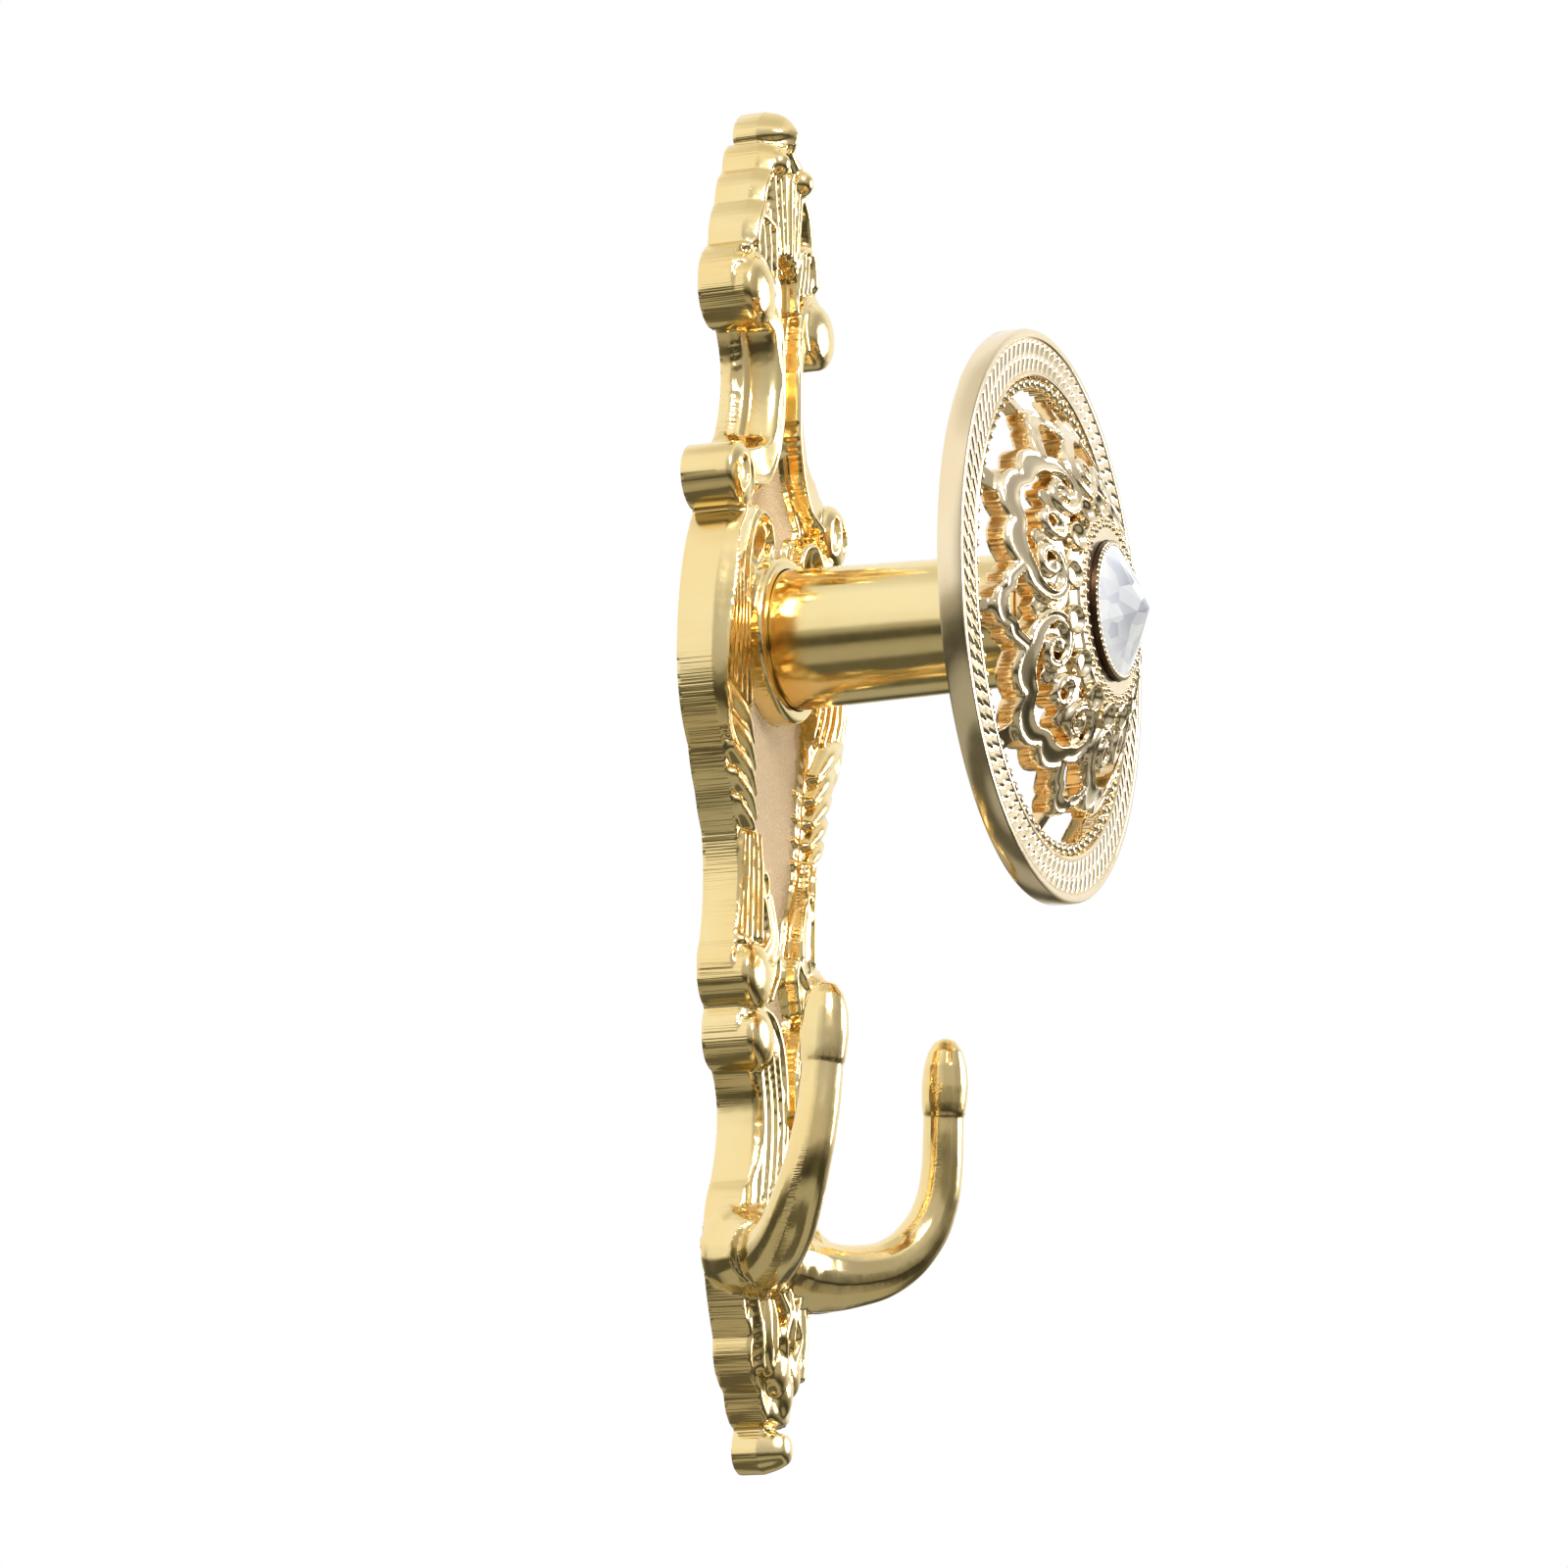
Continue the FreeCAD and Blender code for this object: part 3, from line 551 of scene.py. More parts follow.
ridge([(0, 51.9, 0.6, 6.6), (2.0, 51.7, 0.6, 6.6), (3.5, 50.8, 0.5, 6.5)])
print("neck drawn")

# %% [markdown]
# ### Cartouche, leaves and bell
#
# The middle of the plate is a shield with a tall smooth wall. An acanthus leaf lies inside
# each of its edges: it rolls over in a pointed loop beside the post, runs down in long ribs,
# and ends in curved feathers. Below it a fluted bell carries a smooth scroll.

# %% Leaves of the cartouche
slope([(16.4, 13.9), (20.6, 5), (22.2, -6), (21.6, -12.5), (17.8, -16.8), (10.4, -17), (11.4, -9),
       (12.6, 0), (6.2, 8.6), (6.4, 13.0), (11, 15.4)],
      [7.1, 7.4, 6.9, 6.4, 5.9, 4.9, 4.9, 4.9, 5.2, 6.2, 6.8])
dish(9.7, 10.2, 3.7, 4.4, 4.6, 2.0, lean=12)
ridge([(13.6, 2.4, 0.45, 6.4), (14.0, 7.6, 0.5, 6.9), (12.8, 11.8, 0.5, 7.1), (10.2, 14.6, 0.5, 7.1),
       (7.0, 14.2, 0.5, 7.0), (5.2, 11.6, 0.5, 6.8), (6.4, 8.6, 0.5, 6.5), (9.2, 6.2, 0.45, 6.2),
       (11.2, 2.0, 0.4, 5.9)])
ridge([(16.0, 14.4, 0.6, 7.1), (18.6, 9.4, 0.65, 7.4), (20.3, 3.0, 0.65, 7.5), (21.2, -4.0, 0.6, 7.0),
       (21.2, -10.4, 0.5, 6.5)])
for share in (0, 0.25, 0.5, 0.75, 1):
    top_x = 12.6 + 6.2 * share
    ridge([(top_x, 6.4 - 1.8 * share, 0.5, 6.3 + 0.8 * share),
           (top_x + 0.6, -1.0, 0.75, 6.5 + 0.6 * share),
           (12.2 + 7.4 * share, -6.6, 0.8, 6.5 + 0.3 * share),
           (11.0 + 7.4 * share, -10.8, 0.6, 6.0 + 0.2 * share)])
FEATHERS = [
    [(20.0, -9.8, 1.4, 6.6), (15.4, -12.4, 1.6, 7.2), (11.4, -15.8, 0.8, 6.5)],
    [(18.0, -13.8, 1.35, 6.3), (14.2, -16.0, 1.55, 7.0), (10.6, -19.0, 0.8, 6.4)],
    [(17.0, -17.4, 1.3, 6.2), (13.6, -19.4, 1.45, 6.9), (10.0, -22.2, 0.75, 6.3)],
    [(15.8, -20.8, 1.2, 6.1), (12.8, -22.7, 1.35, 6.7), (9.5, -25.2, 0.7, 6.1)],
    [(14.6, -24.0, 1.1, 6.0), (12.0, -25.9, 1.2, 6.5), (9.1, -28.0, 0.6, 6.0)],
]
for feather in FEATHERS:
    ridge(feather, rise=1.9)
print("leaves drawn")

# %% Bell
slope([(13.2, -28), (13, -34), (13.8, -41), (7.2, -41), (6.4, -36), (9.2, -28)],
      [4.7, 4.7, 4.7, 6.4, 6.5, 6.2])
for share in (0, 0.25, 0.5, 0.75, 1):
    ridge([(9.9 + 2.6 * share, -27.6, 0.34, 6.8 - 1.2 * share),
           (9.4 + 3.1 * share, -32.5, 0.42, 6.9 - 1.5 * share),
           (9.4 + 3.7 * share, -40.8, 0.48, 6.8 - 1.5 * share)])
band([(9.6, -28.0, 0.9, 6.0), (8.4, -32.2, 1.3, 6.5), (6.2, -37.4, 1.6, 6.9), (5.9, -40.8, 1.7, 7.0),
      (8.2, -43.4, 1.3, 6.6)], hollow=0.35)
ridge([(9.4, -34.6, 0.4, 6.4), (8.6, -32.2, 0.45, 6.7), (7.2, -32.6, 0.45, 6.8), (7.0, -34.8, 0.4, 6.7)])
ridge([(13.9, -41.4, 0.6, 6.0), (10.0, -41.9, 0.65, 6.2), (7.4, -42.0, 0.6, 6.6)])
slope([(13.8, -42.4), (14.4, -47), (11, -50), (5.4, -48.6), (3.0, -45), (3.6, -42.4), (8, -43.6)],
      [5.7, 5.7, 5.7, 6.0, 6.2, 6.5, 6.6])
ridge([(13.6, -42.8, 0.4, 6.2), (9.4, -44.4, 0.5, 6.8), (5.8, -43.4, 0.55, 7.0), (3.6, -41.6, 0.5, 7.0)])
ridge([(3.3, -41.8, 0.5, 6.9), (3.2, -44.4, 0.5, 6.8), (5.2, -48.0, 0.5, 6.5)])
print("bell drawn")

# %% [markdown]
# ### Foot and pendant
#
# Under the lower curls another scroll runs down to the hooks, with three fine lines along its
# outer side. Below the hooks hangs a pendant of folded leaves that ends in a small bulb.

# %% Foot scrolls
slope([(12.6, -50.4), (13.0, -54), (9.2, -58), (7.9, -64), (10, -71.4), (11, -76), (4.6, -75),
       (2.4, -68), (1.8, -60), (2.6, -53.4), (6, -50.2)],
      [5.6, 5.6, 5.5, 5.5, 5.5, 5.4, 6.8, 7.2, 7.2, 7.0, 6.6])
ridge([(12.4, -50.0, 0.4, 6.2), (8.4, -49.6, 0.55, 6.8), (4.9, -50.8, 0.6, 7.1), (2.7, -54.6, 0.6, 7.3),
       (1.9, -60.2, 0.6, 7.4), (2.3, -66.4, 0.6, 7.4), (4.0, -73.4, 0.6, 7.2)])
for x, height in ((3.5, 7.4), (4.7, 7.1), (5.9, 6.7), (7.0, 6.2)):
    ridge([(x + 1.6, -55.0, 0.4, height), (x + 0.1, -61.6, 0.52, height), (x + 0.2, -67.4, 0.52, height),
           (x + 1.6, -74.6, 0.4, height)])
print("foot drawn")

# %% Pendant
slope([(0, -84), (8, -84), (9.6, -89), (9.0, -94), (5.6, -97), (3.8, -100.4), (0, -101.4)],
      [6.2, 5.6, 5.2, 5.0, 5.0, 5.2, 5.4])
ridge([(9.4, -84.6, 0.5, 5.9), (7.9, -89.4, 0.6, 6.3), (6.9, -94.6, 0.6, 6.2)])
dome(5.0, -89.6, 2.4, 5.6, 7.0, 1.5, lean=-8)
groove([(5.2, -86.0, 0.8, 0.6), (5.0, -90.0, 0.9, 0.8), (4.6, -93.6, 0.5, 0.3)])
ridge([(2.9, -85.2, 0.6, 7.3), (1.2, -87.4, 0.7, 7.6), (2.6, -90.2, 0.7, 7.6), (1.4, -93.4, 0.6, 7.2)])
ridge([(0.0, -84.6, 0.6, 7.2), (0.0, -88.0, 0.6, 7.7), (0.0, -91.6, 0.5, 7.4)])
dome(1.9, -94.4, 2.5, 3.2, 7.2, 1.5, lean=15)
dome(0, -97.0, 2.2, 3.4, 7.0, 1.6)
dome(0, -99.4, 3.4, 2.4, 6.0, 1.0)
dome(0, -104.2, 2.9, 3.1, 6.9, 2.4)
groove([(0, -101.7, 0.7, 1.4), (3, -101.5, 0.7, 1.4)])
print("pendant drawn")

# %% [markdown]
# ### The sunk field
#
# The middle of the plate is cut down to a flat field with a fine matt grain, which makes the
# polished scrolls stand out. Its edge is smooth and steep. A row of small beads lies along it
# below the post.

# %% Field
FIELD_START = (0.0, 40.4)
FIELD = [
    ((2.0, 39.8), (2.5, 36.0)),
    ((2.4, 31.0), (2.8, 27.0)),
    ((4.0, 22.6), (7.4, 18.2)),
    ((8.6, 16.6), (7.2, 15.2)),
    ((4.2, 13.6), (4.4, 10.4)),
    ((9.4, 3.6), (11.0, 0.0)),
    ((11.4, -6.0), (10.6, -13.0)),
    ((9.8, -19.0), (8.6, -26.0)),
    ((7.4, -30.6), (4.6, -36.0)),
    ((3.6, -39.6), (2.9, -41.6)),
    ((2.6, -44.4), (4.4, -47.8)),
    ((4.6, -49.2), (4.0, -50.4)),
    ((1.9, -54.0), (1.35, -60.0)),
    ((1.4, -65.0), (2.0, -71.0)),
    ((1.2, -73.4), (0.0, -74.0)),
]
FIELD_LEVEL = 3.9
EDGE_WIDTH = 0.55  # of the field's steep wall
EDGE_HEIGHT = 4.0
FIELD_BEADS = 5
BEAD_HALF = 0.75


def field_line():
    points = []
    start = FIELD_START
    for middle, end in FIELD:
        points += through(start, middle, end, 8)
        start = end
    return np.array(points + [list(FIELD[-1][1])])


FIELD_EDGE = field_line()
field_distance, _, _ = nearest_on(FIELD_EDGE, np.zeros((len(FIELD_EDGE), 1)))
whole_field = np.vstack([FIELD_EDGE, FIELD_EDGE[::-1] * (-1, 1)])
in_field = inside_of(whole_field)
cut = FIELD_LEVEL + EDGE_HEIGHT * np.clip(1 - field_distance / EDGE_WIDTH, 0, 1) ** 2
relief = np.where(in_field, np.minimum(relief, np.maximum(cut, FIELD_LEVEL)), relief)
for share in np.linspace(0, 1, FIELD_BEADS):
    dome(8.3 - 0.9 * share, -18.4 - 12.6 * share, BEAD_HALF, BEAD_HALF, FIELD_LEVEL + 0.85, 0.8)
print("field points:", int(in_field.sum()))

# %% [markdown]
# ### Closing the relief to a solid
#
# The relief may not rise straight from the outline: a casting leaves its mould only if its
# wall leans in a little, and its upper edge is round. On the neck the wall has two long
# mouldings. The outermost grid points are moved onto the outline, so the wall is as smooth as
# the drawing, and the back is a flat face.

# %% Wall
THINNEST = 1.4  # least height of the relief above the wall
EDGE_GAP = 0.02  # grid points nearer to the outline than this are left out
EDGE_PULL = 1.2  # how far a rim point may be moved onto the outline


def wall_cap(distance, z):
    """The greatest height that the wall allows at a distance inside the outline."""
    plain = np.interp(distance, [0, 0.15, 0.45, 0.9, 1.3], [4.9, 5.3, 5.9, 7.0, 9.0])
    moulded = np.interp(distance, [0, 0.4, 0.55, 0.9, 1.75, 2.1, 2.45, 2.9, 3.5, 4.2],
                        [1.6, 1.8, 2.7, 3.1, 3.4, 4.8, 5.9, 6.6, 7.1, 9.0])
    ball = np.interp(distance, [0, 0.25, 0.6, 1.1, 1.8, 2.8], [3.4, 4.4, 5.4, 6.4, 7.2, 8.0])
    neck = np.clip((z - 22.5) / 3, 0, 1) * np.clip((41.5 - z) / 1.5, 0, 1)
    end = np.clip((z - 66.4) / 0.8, 0, 1) + np.clip((-101.4 - z) / 0.8, 0, 1)
    return plain * (1 - neck - end) + moulded * neck + ball * end


relief = np.minimum(relief, wall_cap(edge_distance, PZ))
relief = np.maximum(relief, THINNEST)


def relief_solid(name):
    """Mirrors the right half, and closes the grid with walls and a back."""
    keep = within & (edge_distance > EDGE_GAP)
    cells = keep[:-1, :-1] & keep[1:, :-1] & keep[:-1, 1:] & keep[1:, 1:]
    used = np.zeros(keep.shape, bool)
    used[:-1, :-1] |= cells
    used[1:, :-1] |= cells
    used[:-1, 1:] |= cells
    used[1:, 1:] |= cells
    whole = np.ones(keep.shape, bool)
    whole[1:-1, 1:-1] = cells[:-1, :-1] & cells[1:, :-1] & cells[:-1, 1:] & cells[1:, 1:]
    whole[1:-1, 0] = cells[:-1, 0] & cells[1:, 0]
    rim = used & ~whole
    pulled = rim & (edge_distance < EDGE_PULL)
    x = np.where(pulled, edge_foot[..., 0], PX)
    z = np.where(pulled, edge_foot[..., 1], PZ)
    x[:, 0] = 0
    height = relief.copy()
    height[rim] = np.minimum(height[rim], wall_cap(np.zeros(rim.sum()), z[rim]))
    number = -np.ones(keep.shape, int)
    number[used] = np.arange(used.sum())
    right = np.stack([x[used], -height[used], z[used]], 1)
    left = right * (-1, 1, 1)
    count = len(right)
    faces = []
    mirror_of = np.arange(count) + count
    middle = number[:, 0][used[:, 0]]
    mirror_of[middle] = middle
    for i, j in zip(*np.nonzero(cells)):
        a, b, c, d = number[i, j], number[i, j + 1], number[i + 1, j + 1], number[i + 1, j]
        faces.append((a, b, c, d))
        faces.append(tuple(mirror_of[[d, c, b, a]]))
    piece = solid_of(name, np.vstack([right, left]), [tuple(int(k) for k in f) for f in faces])
    extruded_sheet()
    bpy.ops.transform.resize(value=(1, 0, 1), center_override=(0, 0, 0))
    bpy.ops.object.mode_set(mode="OBJECT")
    return outward(piece)


plate = relief_solid("plate")
report(plate)

# %% [markdown]
# ## Curls
#
# Each scroll ends in a roll, seen from its end: a short drum that runs from the wall to a
# little above the bands. A drum starts as a cylinder. Its front face is inset and moved a few
# times, outwards, which rounds it to a dome. Two of the domed ends get a pair of leaf-shaped
# dents, pressed with stretched spheres.

# %% Drums
def front_face(piece):
    """Selects the face of a drum that looks out of the wall."""
    bpy.ops.object.mode_set(mode="EDIT")
    mesh = bmesh.from_edit_mesh(piece.data)
    for face in mesh.faces:
        face.select_set(face.normal.y < -0.9 and len(face.verts) > 4)
    mesh.select_flush(True)
    bmesh.update_edit_mesh(piece.data)


def drum(name, x, z, radius, depth, steps):
    """A cylinder on the wall whose front face is inset and moved by each (inset, move)."""
    let_go()
    bpy.ops.mesh.primitive_cylinder_add(
        vertices=48, radius=radius * MM, depth=depth * MM,
        location=(x * MM, -depth / 2 * MM, z * MM), rotation=(math.pi / 2, 0, 0))
    piece = applied(bpy.context.object)
    piece.name = name
    front_face(piece)
    for inset, move in steps:
        bpy.ops.mesh.inset(thickness=inset * MM)
        bpy.ops.transform.translate(value=(0, -move * MM, 0))
    bpy.ops.object.mode_set(mode="OBJECT")
    return piece


def domed_steps(radius, rise):
    """Insets and moves that round a face into a dome."""
    steps = []
    turns = [math.radians(a) for a in (0, 20, 40, 60, 78)]
    for a, b in zip(turns, turns[1:]):
        steps.append((radius * (math.cos(a) - math.cos(b)), rise * (math.sin(b) - math.sin(a))))
    return steps


CURLS = [  # name, x, z, radius, depth of the drum, insets and moves
    ("curl_1", 10.9, 44.0, 4.5, 6.4, domed_steps(4.5, 2.0)),
    ("curl_2", 16.9, 18.0, 4.25, 6.3, domed_steps(4.25, 1.6)),
    ("curl_3", 10.8, -45.8, 4.2, 6.2, domed_steps(4.2, 1.7)),
    ("curl_4", 9.5, -53.6, 3.8, 6.2, domed_steps(3.8, 1.7)),
]
DENTED = "curl_2"
DENTS = [(15.4, 17.9, 0.85, 2.6, 8), (18.0, 18.0, 0.85, 2.4, -10)]  # x, z, half widths, lean
DENT_DEPTH = 7.7  # of the stretched sphere's middle
DENT_HALF_DEPTH = 1.1


def dent(x, z, half_x, half_z, lean):
    let_go()
    bpy.ops.mesh.primitive_uv_sphere_add(segments=24, ring_count=16, radius=MM,
                                         location=(x * MM, -DENT_DEPTH * MM, z * MM),
                                         rotation=(0, math.radians(lean), 0))
    bpy.context.object.scale = (half_x, DENT_HALF_DEPTH, half_z)
    return applied(bpy.context.object)


def without(piece, tools, solver="EXACT"):
    """Cuts each tool from a piece and deletes the tools."""
    for tool in tools:
        modify(piece, "BOOLEAN", operation="DIFFERENCE", object=tool, solver=solver)
        bpy.data.objects.remove(tool)
    return piece


casting = [plate]
for name, x, z, radius, depth, steps in CURLS:
    for side in (1, -1):
        roll = drum(name, side * x, z, radius, depth, steps)
        if name == DENTED:
            roll = without(roll, [dent(side * dx, dz, hx, hz, side * lean)
                                  for dx, dz, hx, hz, lean in DENTS])
        casting.append(roll)
print("drums:", len(casting) - 1)

# %% Small volutes and collar
VOLUTE = (4.3, 6.7, 63.2)  # x, depth, z
VOLUTE_RADIUS = 1.75
COLLAR_RADIUS = 10.9
COLLAR_DEPTH = 6.8
COLLAR_STEPS = [(0.35, 0.35), (0.45, 0.15), (0.6, 0.0)]
for side in (1, -1):
    let_go()
    bpy.ops.mesh.primitive_uv_sphere_add(
        segments=32, ring_count=20, radius=VOLUTE_RADIUS * MM,
        location=(side * VOLUTE[0] * MM, -VOLUTE[1] * MM, VOLUTE[2] * MM))
    casting.append(bpy.context.object)
casting.append(drum("collar", 0, 0, COLLAR_RADIUS, COLLAR_DEPTH, COLLAR_STEPS))
print("pieces of the casting:", len(casting))

# %% [markdown]
# ## Hooks
#
# Both hooks leave the plate's foot as a broad swelling, thin out, bend upwards and end in a
# bud with a small step under it. A rod with a changing thickness is a curve with a radius at
# each point. Converted to a mesh, it joins the casting like every other part.

# %% Rods
HOOK = [  # x, depth, z, radius
    (-1.0, 3.6, -80.4, 4.6), (4.5, 4.2, -80.8, 5.2), (9.5, 6.4, -81.2, 4.8), (14.6, 10.2, -80.8, 4.0),
    (18.9, 13.6, -79.0, 3.5), (21.9, 16.2, -75.6, 3.15), (23.2, 18.0, -71.4, 2.85),
    (23.1, 19.0, -66.6, 2.7), (22.6, 19.4, -62.0, 2.65), (22.4, 19.6, -58.0, 2.6),
]
BUD = [
    (22.4, 19.6, -60.4, 2.3), (22.4, 19.6, -59.2, 2.78), (22.35, 19.65, -57.8, 2.95),
    (22.3, 19.8, -55.6, 3.05), (22.2, 19.9, -53.2, 2.85), (22.15, 19.9, -51.2, 2.3),
    (22.1, 19.85, -49.9, 1.5), (22.1, 19.8, -49.4, 0.5),
]
SWELLING = [
    (2.0, 3.0, -78.6, 4.4), (8.4, 3.2, -79.6, 6.0), (11.2, 5.4, -80.8, 5.2), (14.0, 8.2, -81.2, 4.2),
]


def rod(name, points, side):
    """A round bar along points (x, depth, z, radius), flat where it would reach the wall."""
    data = bpy.data.curves.new(name, "CURVE")
    data.dimensions = "3D"
    data.bevel_depth = MM
    data.bevel_resolution = 7
    data.resolution_u = 14
    data.use_fill_caps = True
    line = data.splines.new("BEZIER")
    line.bezier_points.add(len(points) - 1)
    for point, (x, depth, z, radius) in zip(line.bezier_points, points):
        point.co = (side * x * MM, -depth * MM, z * MM)
        point.radius = radius
        point.handle_left_type = point.handle_right_type = "AUTO"
    bar = bpy.data.objects.new(name, data)
    bpy.context.collection.objects.link(bar)
    take(bar)
    bpy.ops.object.convert(target="MESH")
    bar = bpy.context.object
    for corner in bar.data.vertices:
        corner.co.y = min(corner.co.y, 0.0)
    return bar


for side in (1, -1):
    casting += [rod("hook", HOOK, side), rod("bud", BUD, side)]
    casting.append(rod("swelling", SWELLING, side))
print("hooks added")

# %% [markdown]
# ## Melting the parts together
#
# A voxel remesh turns the overlapping shells into one closed skin, with the soft inner
# corners of a plated casting. It gives far more faces than the flat places need, so a
# decimation takes them away where they don't show. The back is pressed flat against the wall.
# The screw holes and the socket of the post are cut last, so that their edges stay sharp.

# %% One skin
VOXEL = 0.24
PLATE_TRIANGLES = 186000
BACK_SKIN = 0.14  # corners nearer to the wall than this belong to the flat back
plate = joined(casting, "plate_casting")
modify(plate, "REMESH", mode="VOXEL", voxel_size=VOXEL * MM, adaptivity=0.0)
report(plate)
modify(plate, "SMOOTH", factor=0.5, iterations=1)
modify(plate, "DECIMATE", ratio=min(1.0, PLATE_TRIANGLES / count_triangles(plate)))
for corner in plate.data.vertices:
    if corner.co.y > -BACK_SKIN * MM:
        corner.co.y = 0.0
report(plate)

# %% Holes from the frame
HOLES = [  # radius, start, end and z of each cut
    (9.3, 4.6, 12, 0.0),    # socket of the post
    (2.6, -1, 6, 0.0),      # centre screw
    (4.6, -1, 2.4, 0.0),    # its head
    (2.3, -1, 9, 40.3),     # upper wall screw
    (2.3, -1, 9, -63.0),    # lower wall screw
]


def plug(radius, start, end, z):
    """A cylinder to cut with, between two depths."""
    let_go()
    bpy.ops.mesh.primitive_cylinder_add(
        vertices=64, radius=radius * MM, depth=(end - start) * MM,
        location=(0, -(start + end) / 2 * MM, z * MM), rotation=(math.pi / 2, 0, 0))
    return applied(bpy.context.object)


without(plate, [plug(*hole) for hole in HOLES], solver="MANIFOLD")
report(plate)

# %% [markdown]
# ## The rosette
#
# The rosette is an openwork dome inside a flat rim. Five cloud scrolls stand round it: each is
# a ribbon with raised double edges and a smooth sunk middle, bent into three lobes, whose two
# ends roll up into spirals on both sides of a small loop. Bowed ribbons join neighbours, and
# short struts hold all of it to the rim. One fifth is drawn flat, as strokes again: this time a
# grid point is metal only where a ribbon covers it. The fifth is bent onto the dome, given its
# thickness, and copied round the middle.

# %% The rosette's sizes
POST_END = 40.0
OPENING = 29.0
DOME_EDGE = 41.9
DOME_CROWN = 51.7
DOME_WALL = 2.8
CUP_SEAT = 50.0
FIRST_UNIT = 82.3
UNITS = 5
DOME_RISE = DOME_CROWN - DOME_EDGE
DOME_RADIUS = (OPENING ** 2 + DOME_RISE ** 2) / (2 * DOME_RISE)


def dome_depth(radius):
    """How far in front of the wall the dome's skin is, at a distance from its axis."""
    return DOME_CROWN - DOME_RADIUS + np.sqrt(DOME_RADIUS ** 2 - np.minimum(radius, OPENING) ** 2)


print("dome radius %.1f mm" % DOME_RADIUS)

# %% Lines of one fifth
def polar_line(points):
    """Points (distance, degrees, half width) as a smooth line of (across, outwards, half)."""
    turned = [(r * math.sin(math.radians(a)), r * math.cos(math.radians(a)), half)
              for r, a, half in points]
    return smooth_line(turned, 9)


HALF_CLOUD = [  # from the middle of the unit through the lobes and round into the spiral
    (25.0, 0.0, 1.35), (24.6, 4.4, 1.35), (23.35, 8.6, 1.2), (23.5, 12.0, 1.45), (23.35, 15.8, 1.6),
    (22.5, 19.8, 1.45), (21.15, 23.6, 1.15), (20.4, 27.2, 1.1), (19.1, 30.2, 1.0),
    (17.5, 31.8, 0.85), (16.0, 30.4, 0.74), (15.0, 25.8, 0.64), (15.1, 19.4, 0.6), (16.2, 13.8, 0.58),
    (17.9, 12.2, 0.56), (19.2, 15.2, 0.54), (19.0, 20.4, 0.5), (17.6, 22.0, 0.46), (16.7, 19.6, 0.42),
]
EYE = (17.3, 18.2, 0.55)
LOOP = [(17.8 + 1.8 * math.cos(a), math.degrees(1.35 * math.sin(a) / 17.8), 0.5)
        for a in np.linspace(0, 2 * math.pi, 15)]
HALF_BOW = [
    (22.6, 23.6, 0.85), (24.0, 27.4, 0.9), (24.3, 30.4, 0.85), (25.3, 32.4, 0.95), (25.6, 36.0, 1.0),
]
WEBS = [  # struts and the sunk metal between the ribbons
    [(25.5, 0.0, 1.2), (29.4, 0.0, 1.5)],
    [(25.6, 36.0, 0.8), (29.4, 36.0, 1.0)],
    [(14.6, 36.0, 2.2), (18.6, 36.0, 1.5), (19.4, 36.0, 0.8)],
    [(15.6, 10.0, 1.2), (17.6, 8.8, 1.1), (19.4, 9.6, 1.1)],
    [(14.6, 0.0, 1.6), (15.6, 0.0, 1.4)],
    [(15.6, 23.6, 1.1), (17.2, 22.0, 1.4), (18.8, 24.6, 1.0)],
]


def mirrored(points):
    """A half line and its mirror image, joined at the middle."""
    return [(r, -a, half) for r, a, half in points[:0:-1]] + points


def both(points):
    """A line and its mirror image."""
    return [points, [(r, -a, half) for r, a, half in points]]


BOW = HALF_BOW + [(r, 72 - a, half) for r, a, half in HALF_BOW[-2::-1]]
print("points of the cloud scroll:", 2 * len(HALF_CLOUD) - 1)

# %% Margins and heights on a flat grid
FLAT_STEP = 0.16
FX = np.arange(-18.4, 18.41, FLAT_STEP)
FZ = np.arange(11.6, 29.8, FLAT_STEP)
GX, GZ = np.meshgrid(FX, FZ)
WEB_LEVEL = -0.7  # of the webs, from the dome's skin
RIBBON_FOOT = -0.2  # highest that an outer edge may be
INNER_END = 12.6
OUTER_END = 29.5
HALF_ANGLE = 37.6  # of the drawn fifth, which overlaps its neighbours
CUT_ANGLE = 37.2  # past this the edge is a seam and stays where it is


def ribbon_margin(lines):
    """How far inside the edge of the nearest ribbon each point is, below zero outside."""
    margin = np.full(GX.shape, -9.0)
    for line in lines:
        for a, b in zip(line, line[1:]):
            along = b[:2] - a[:2]
            length2 = max(along @ along, 1e-9)
            t = np.clip(((GX - a[0]) * along[0] + (GZ - a[1]) * along[1]) / length2, 0, 1)
            distance = np.hypot(GX - a[0] - t * along[0], GZ - a[1] - t * along[1])
            margin = np.maximum(margin, a[2] + t * (b[2] - a[2]) - distance)
    return margin


def turned_lines(lines):
    return [polar_line(line) for line in lines]


def fifth():
    """Margins and heights of one fifth of the lattice: ribbons over sunk webs."""
    bows = [BOW, [(r, a - 72, half) for r, a, half in BOW]]
    ribbons = ribbon_margin(turned_lines([mirrored(HALF_CLOUD), LOOP] + bows))
    webs = ribbon_margin(turned_lines([line for web in WEBS for line in both(web)]))
    height = np.interp(ribbons, [0, 0.16, 0.34, 0.52, 0.85, 1.3],
                       [-0.15, 0.14, 0.2, -0.06, -0.16, -0.2])
    for side in (1, -1):
        middle = polar_line([(EYE[0], side * EYE[1], EYE[2]), (EYE[0], side * EYE[1], EYE[2])])[0]
        near = np.hypot(GX - middle[0], GZ - middle[1]) / EYE[2]
        ribbons = np.maximum(ribbons, EYE[2] * (1 - near))
        height = np.where(near < 1, 0.35 * np.sqrt(np.clip(1 - near ** 2, 0, 1)) - 0.1, height)
    height = np.where(ribbons > -FLAT_STEP, height, WEB_LEVEL)
    return np.maximum(ribbons, webs), height


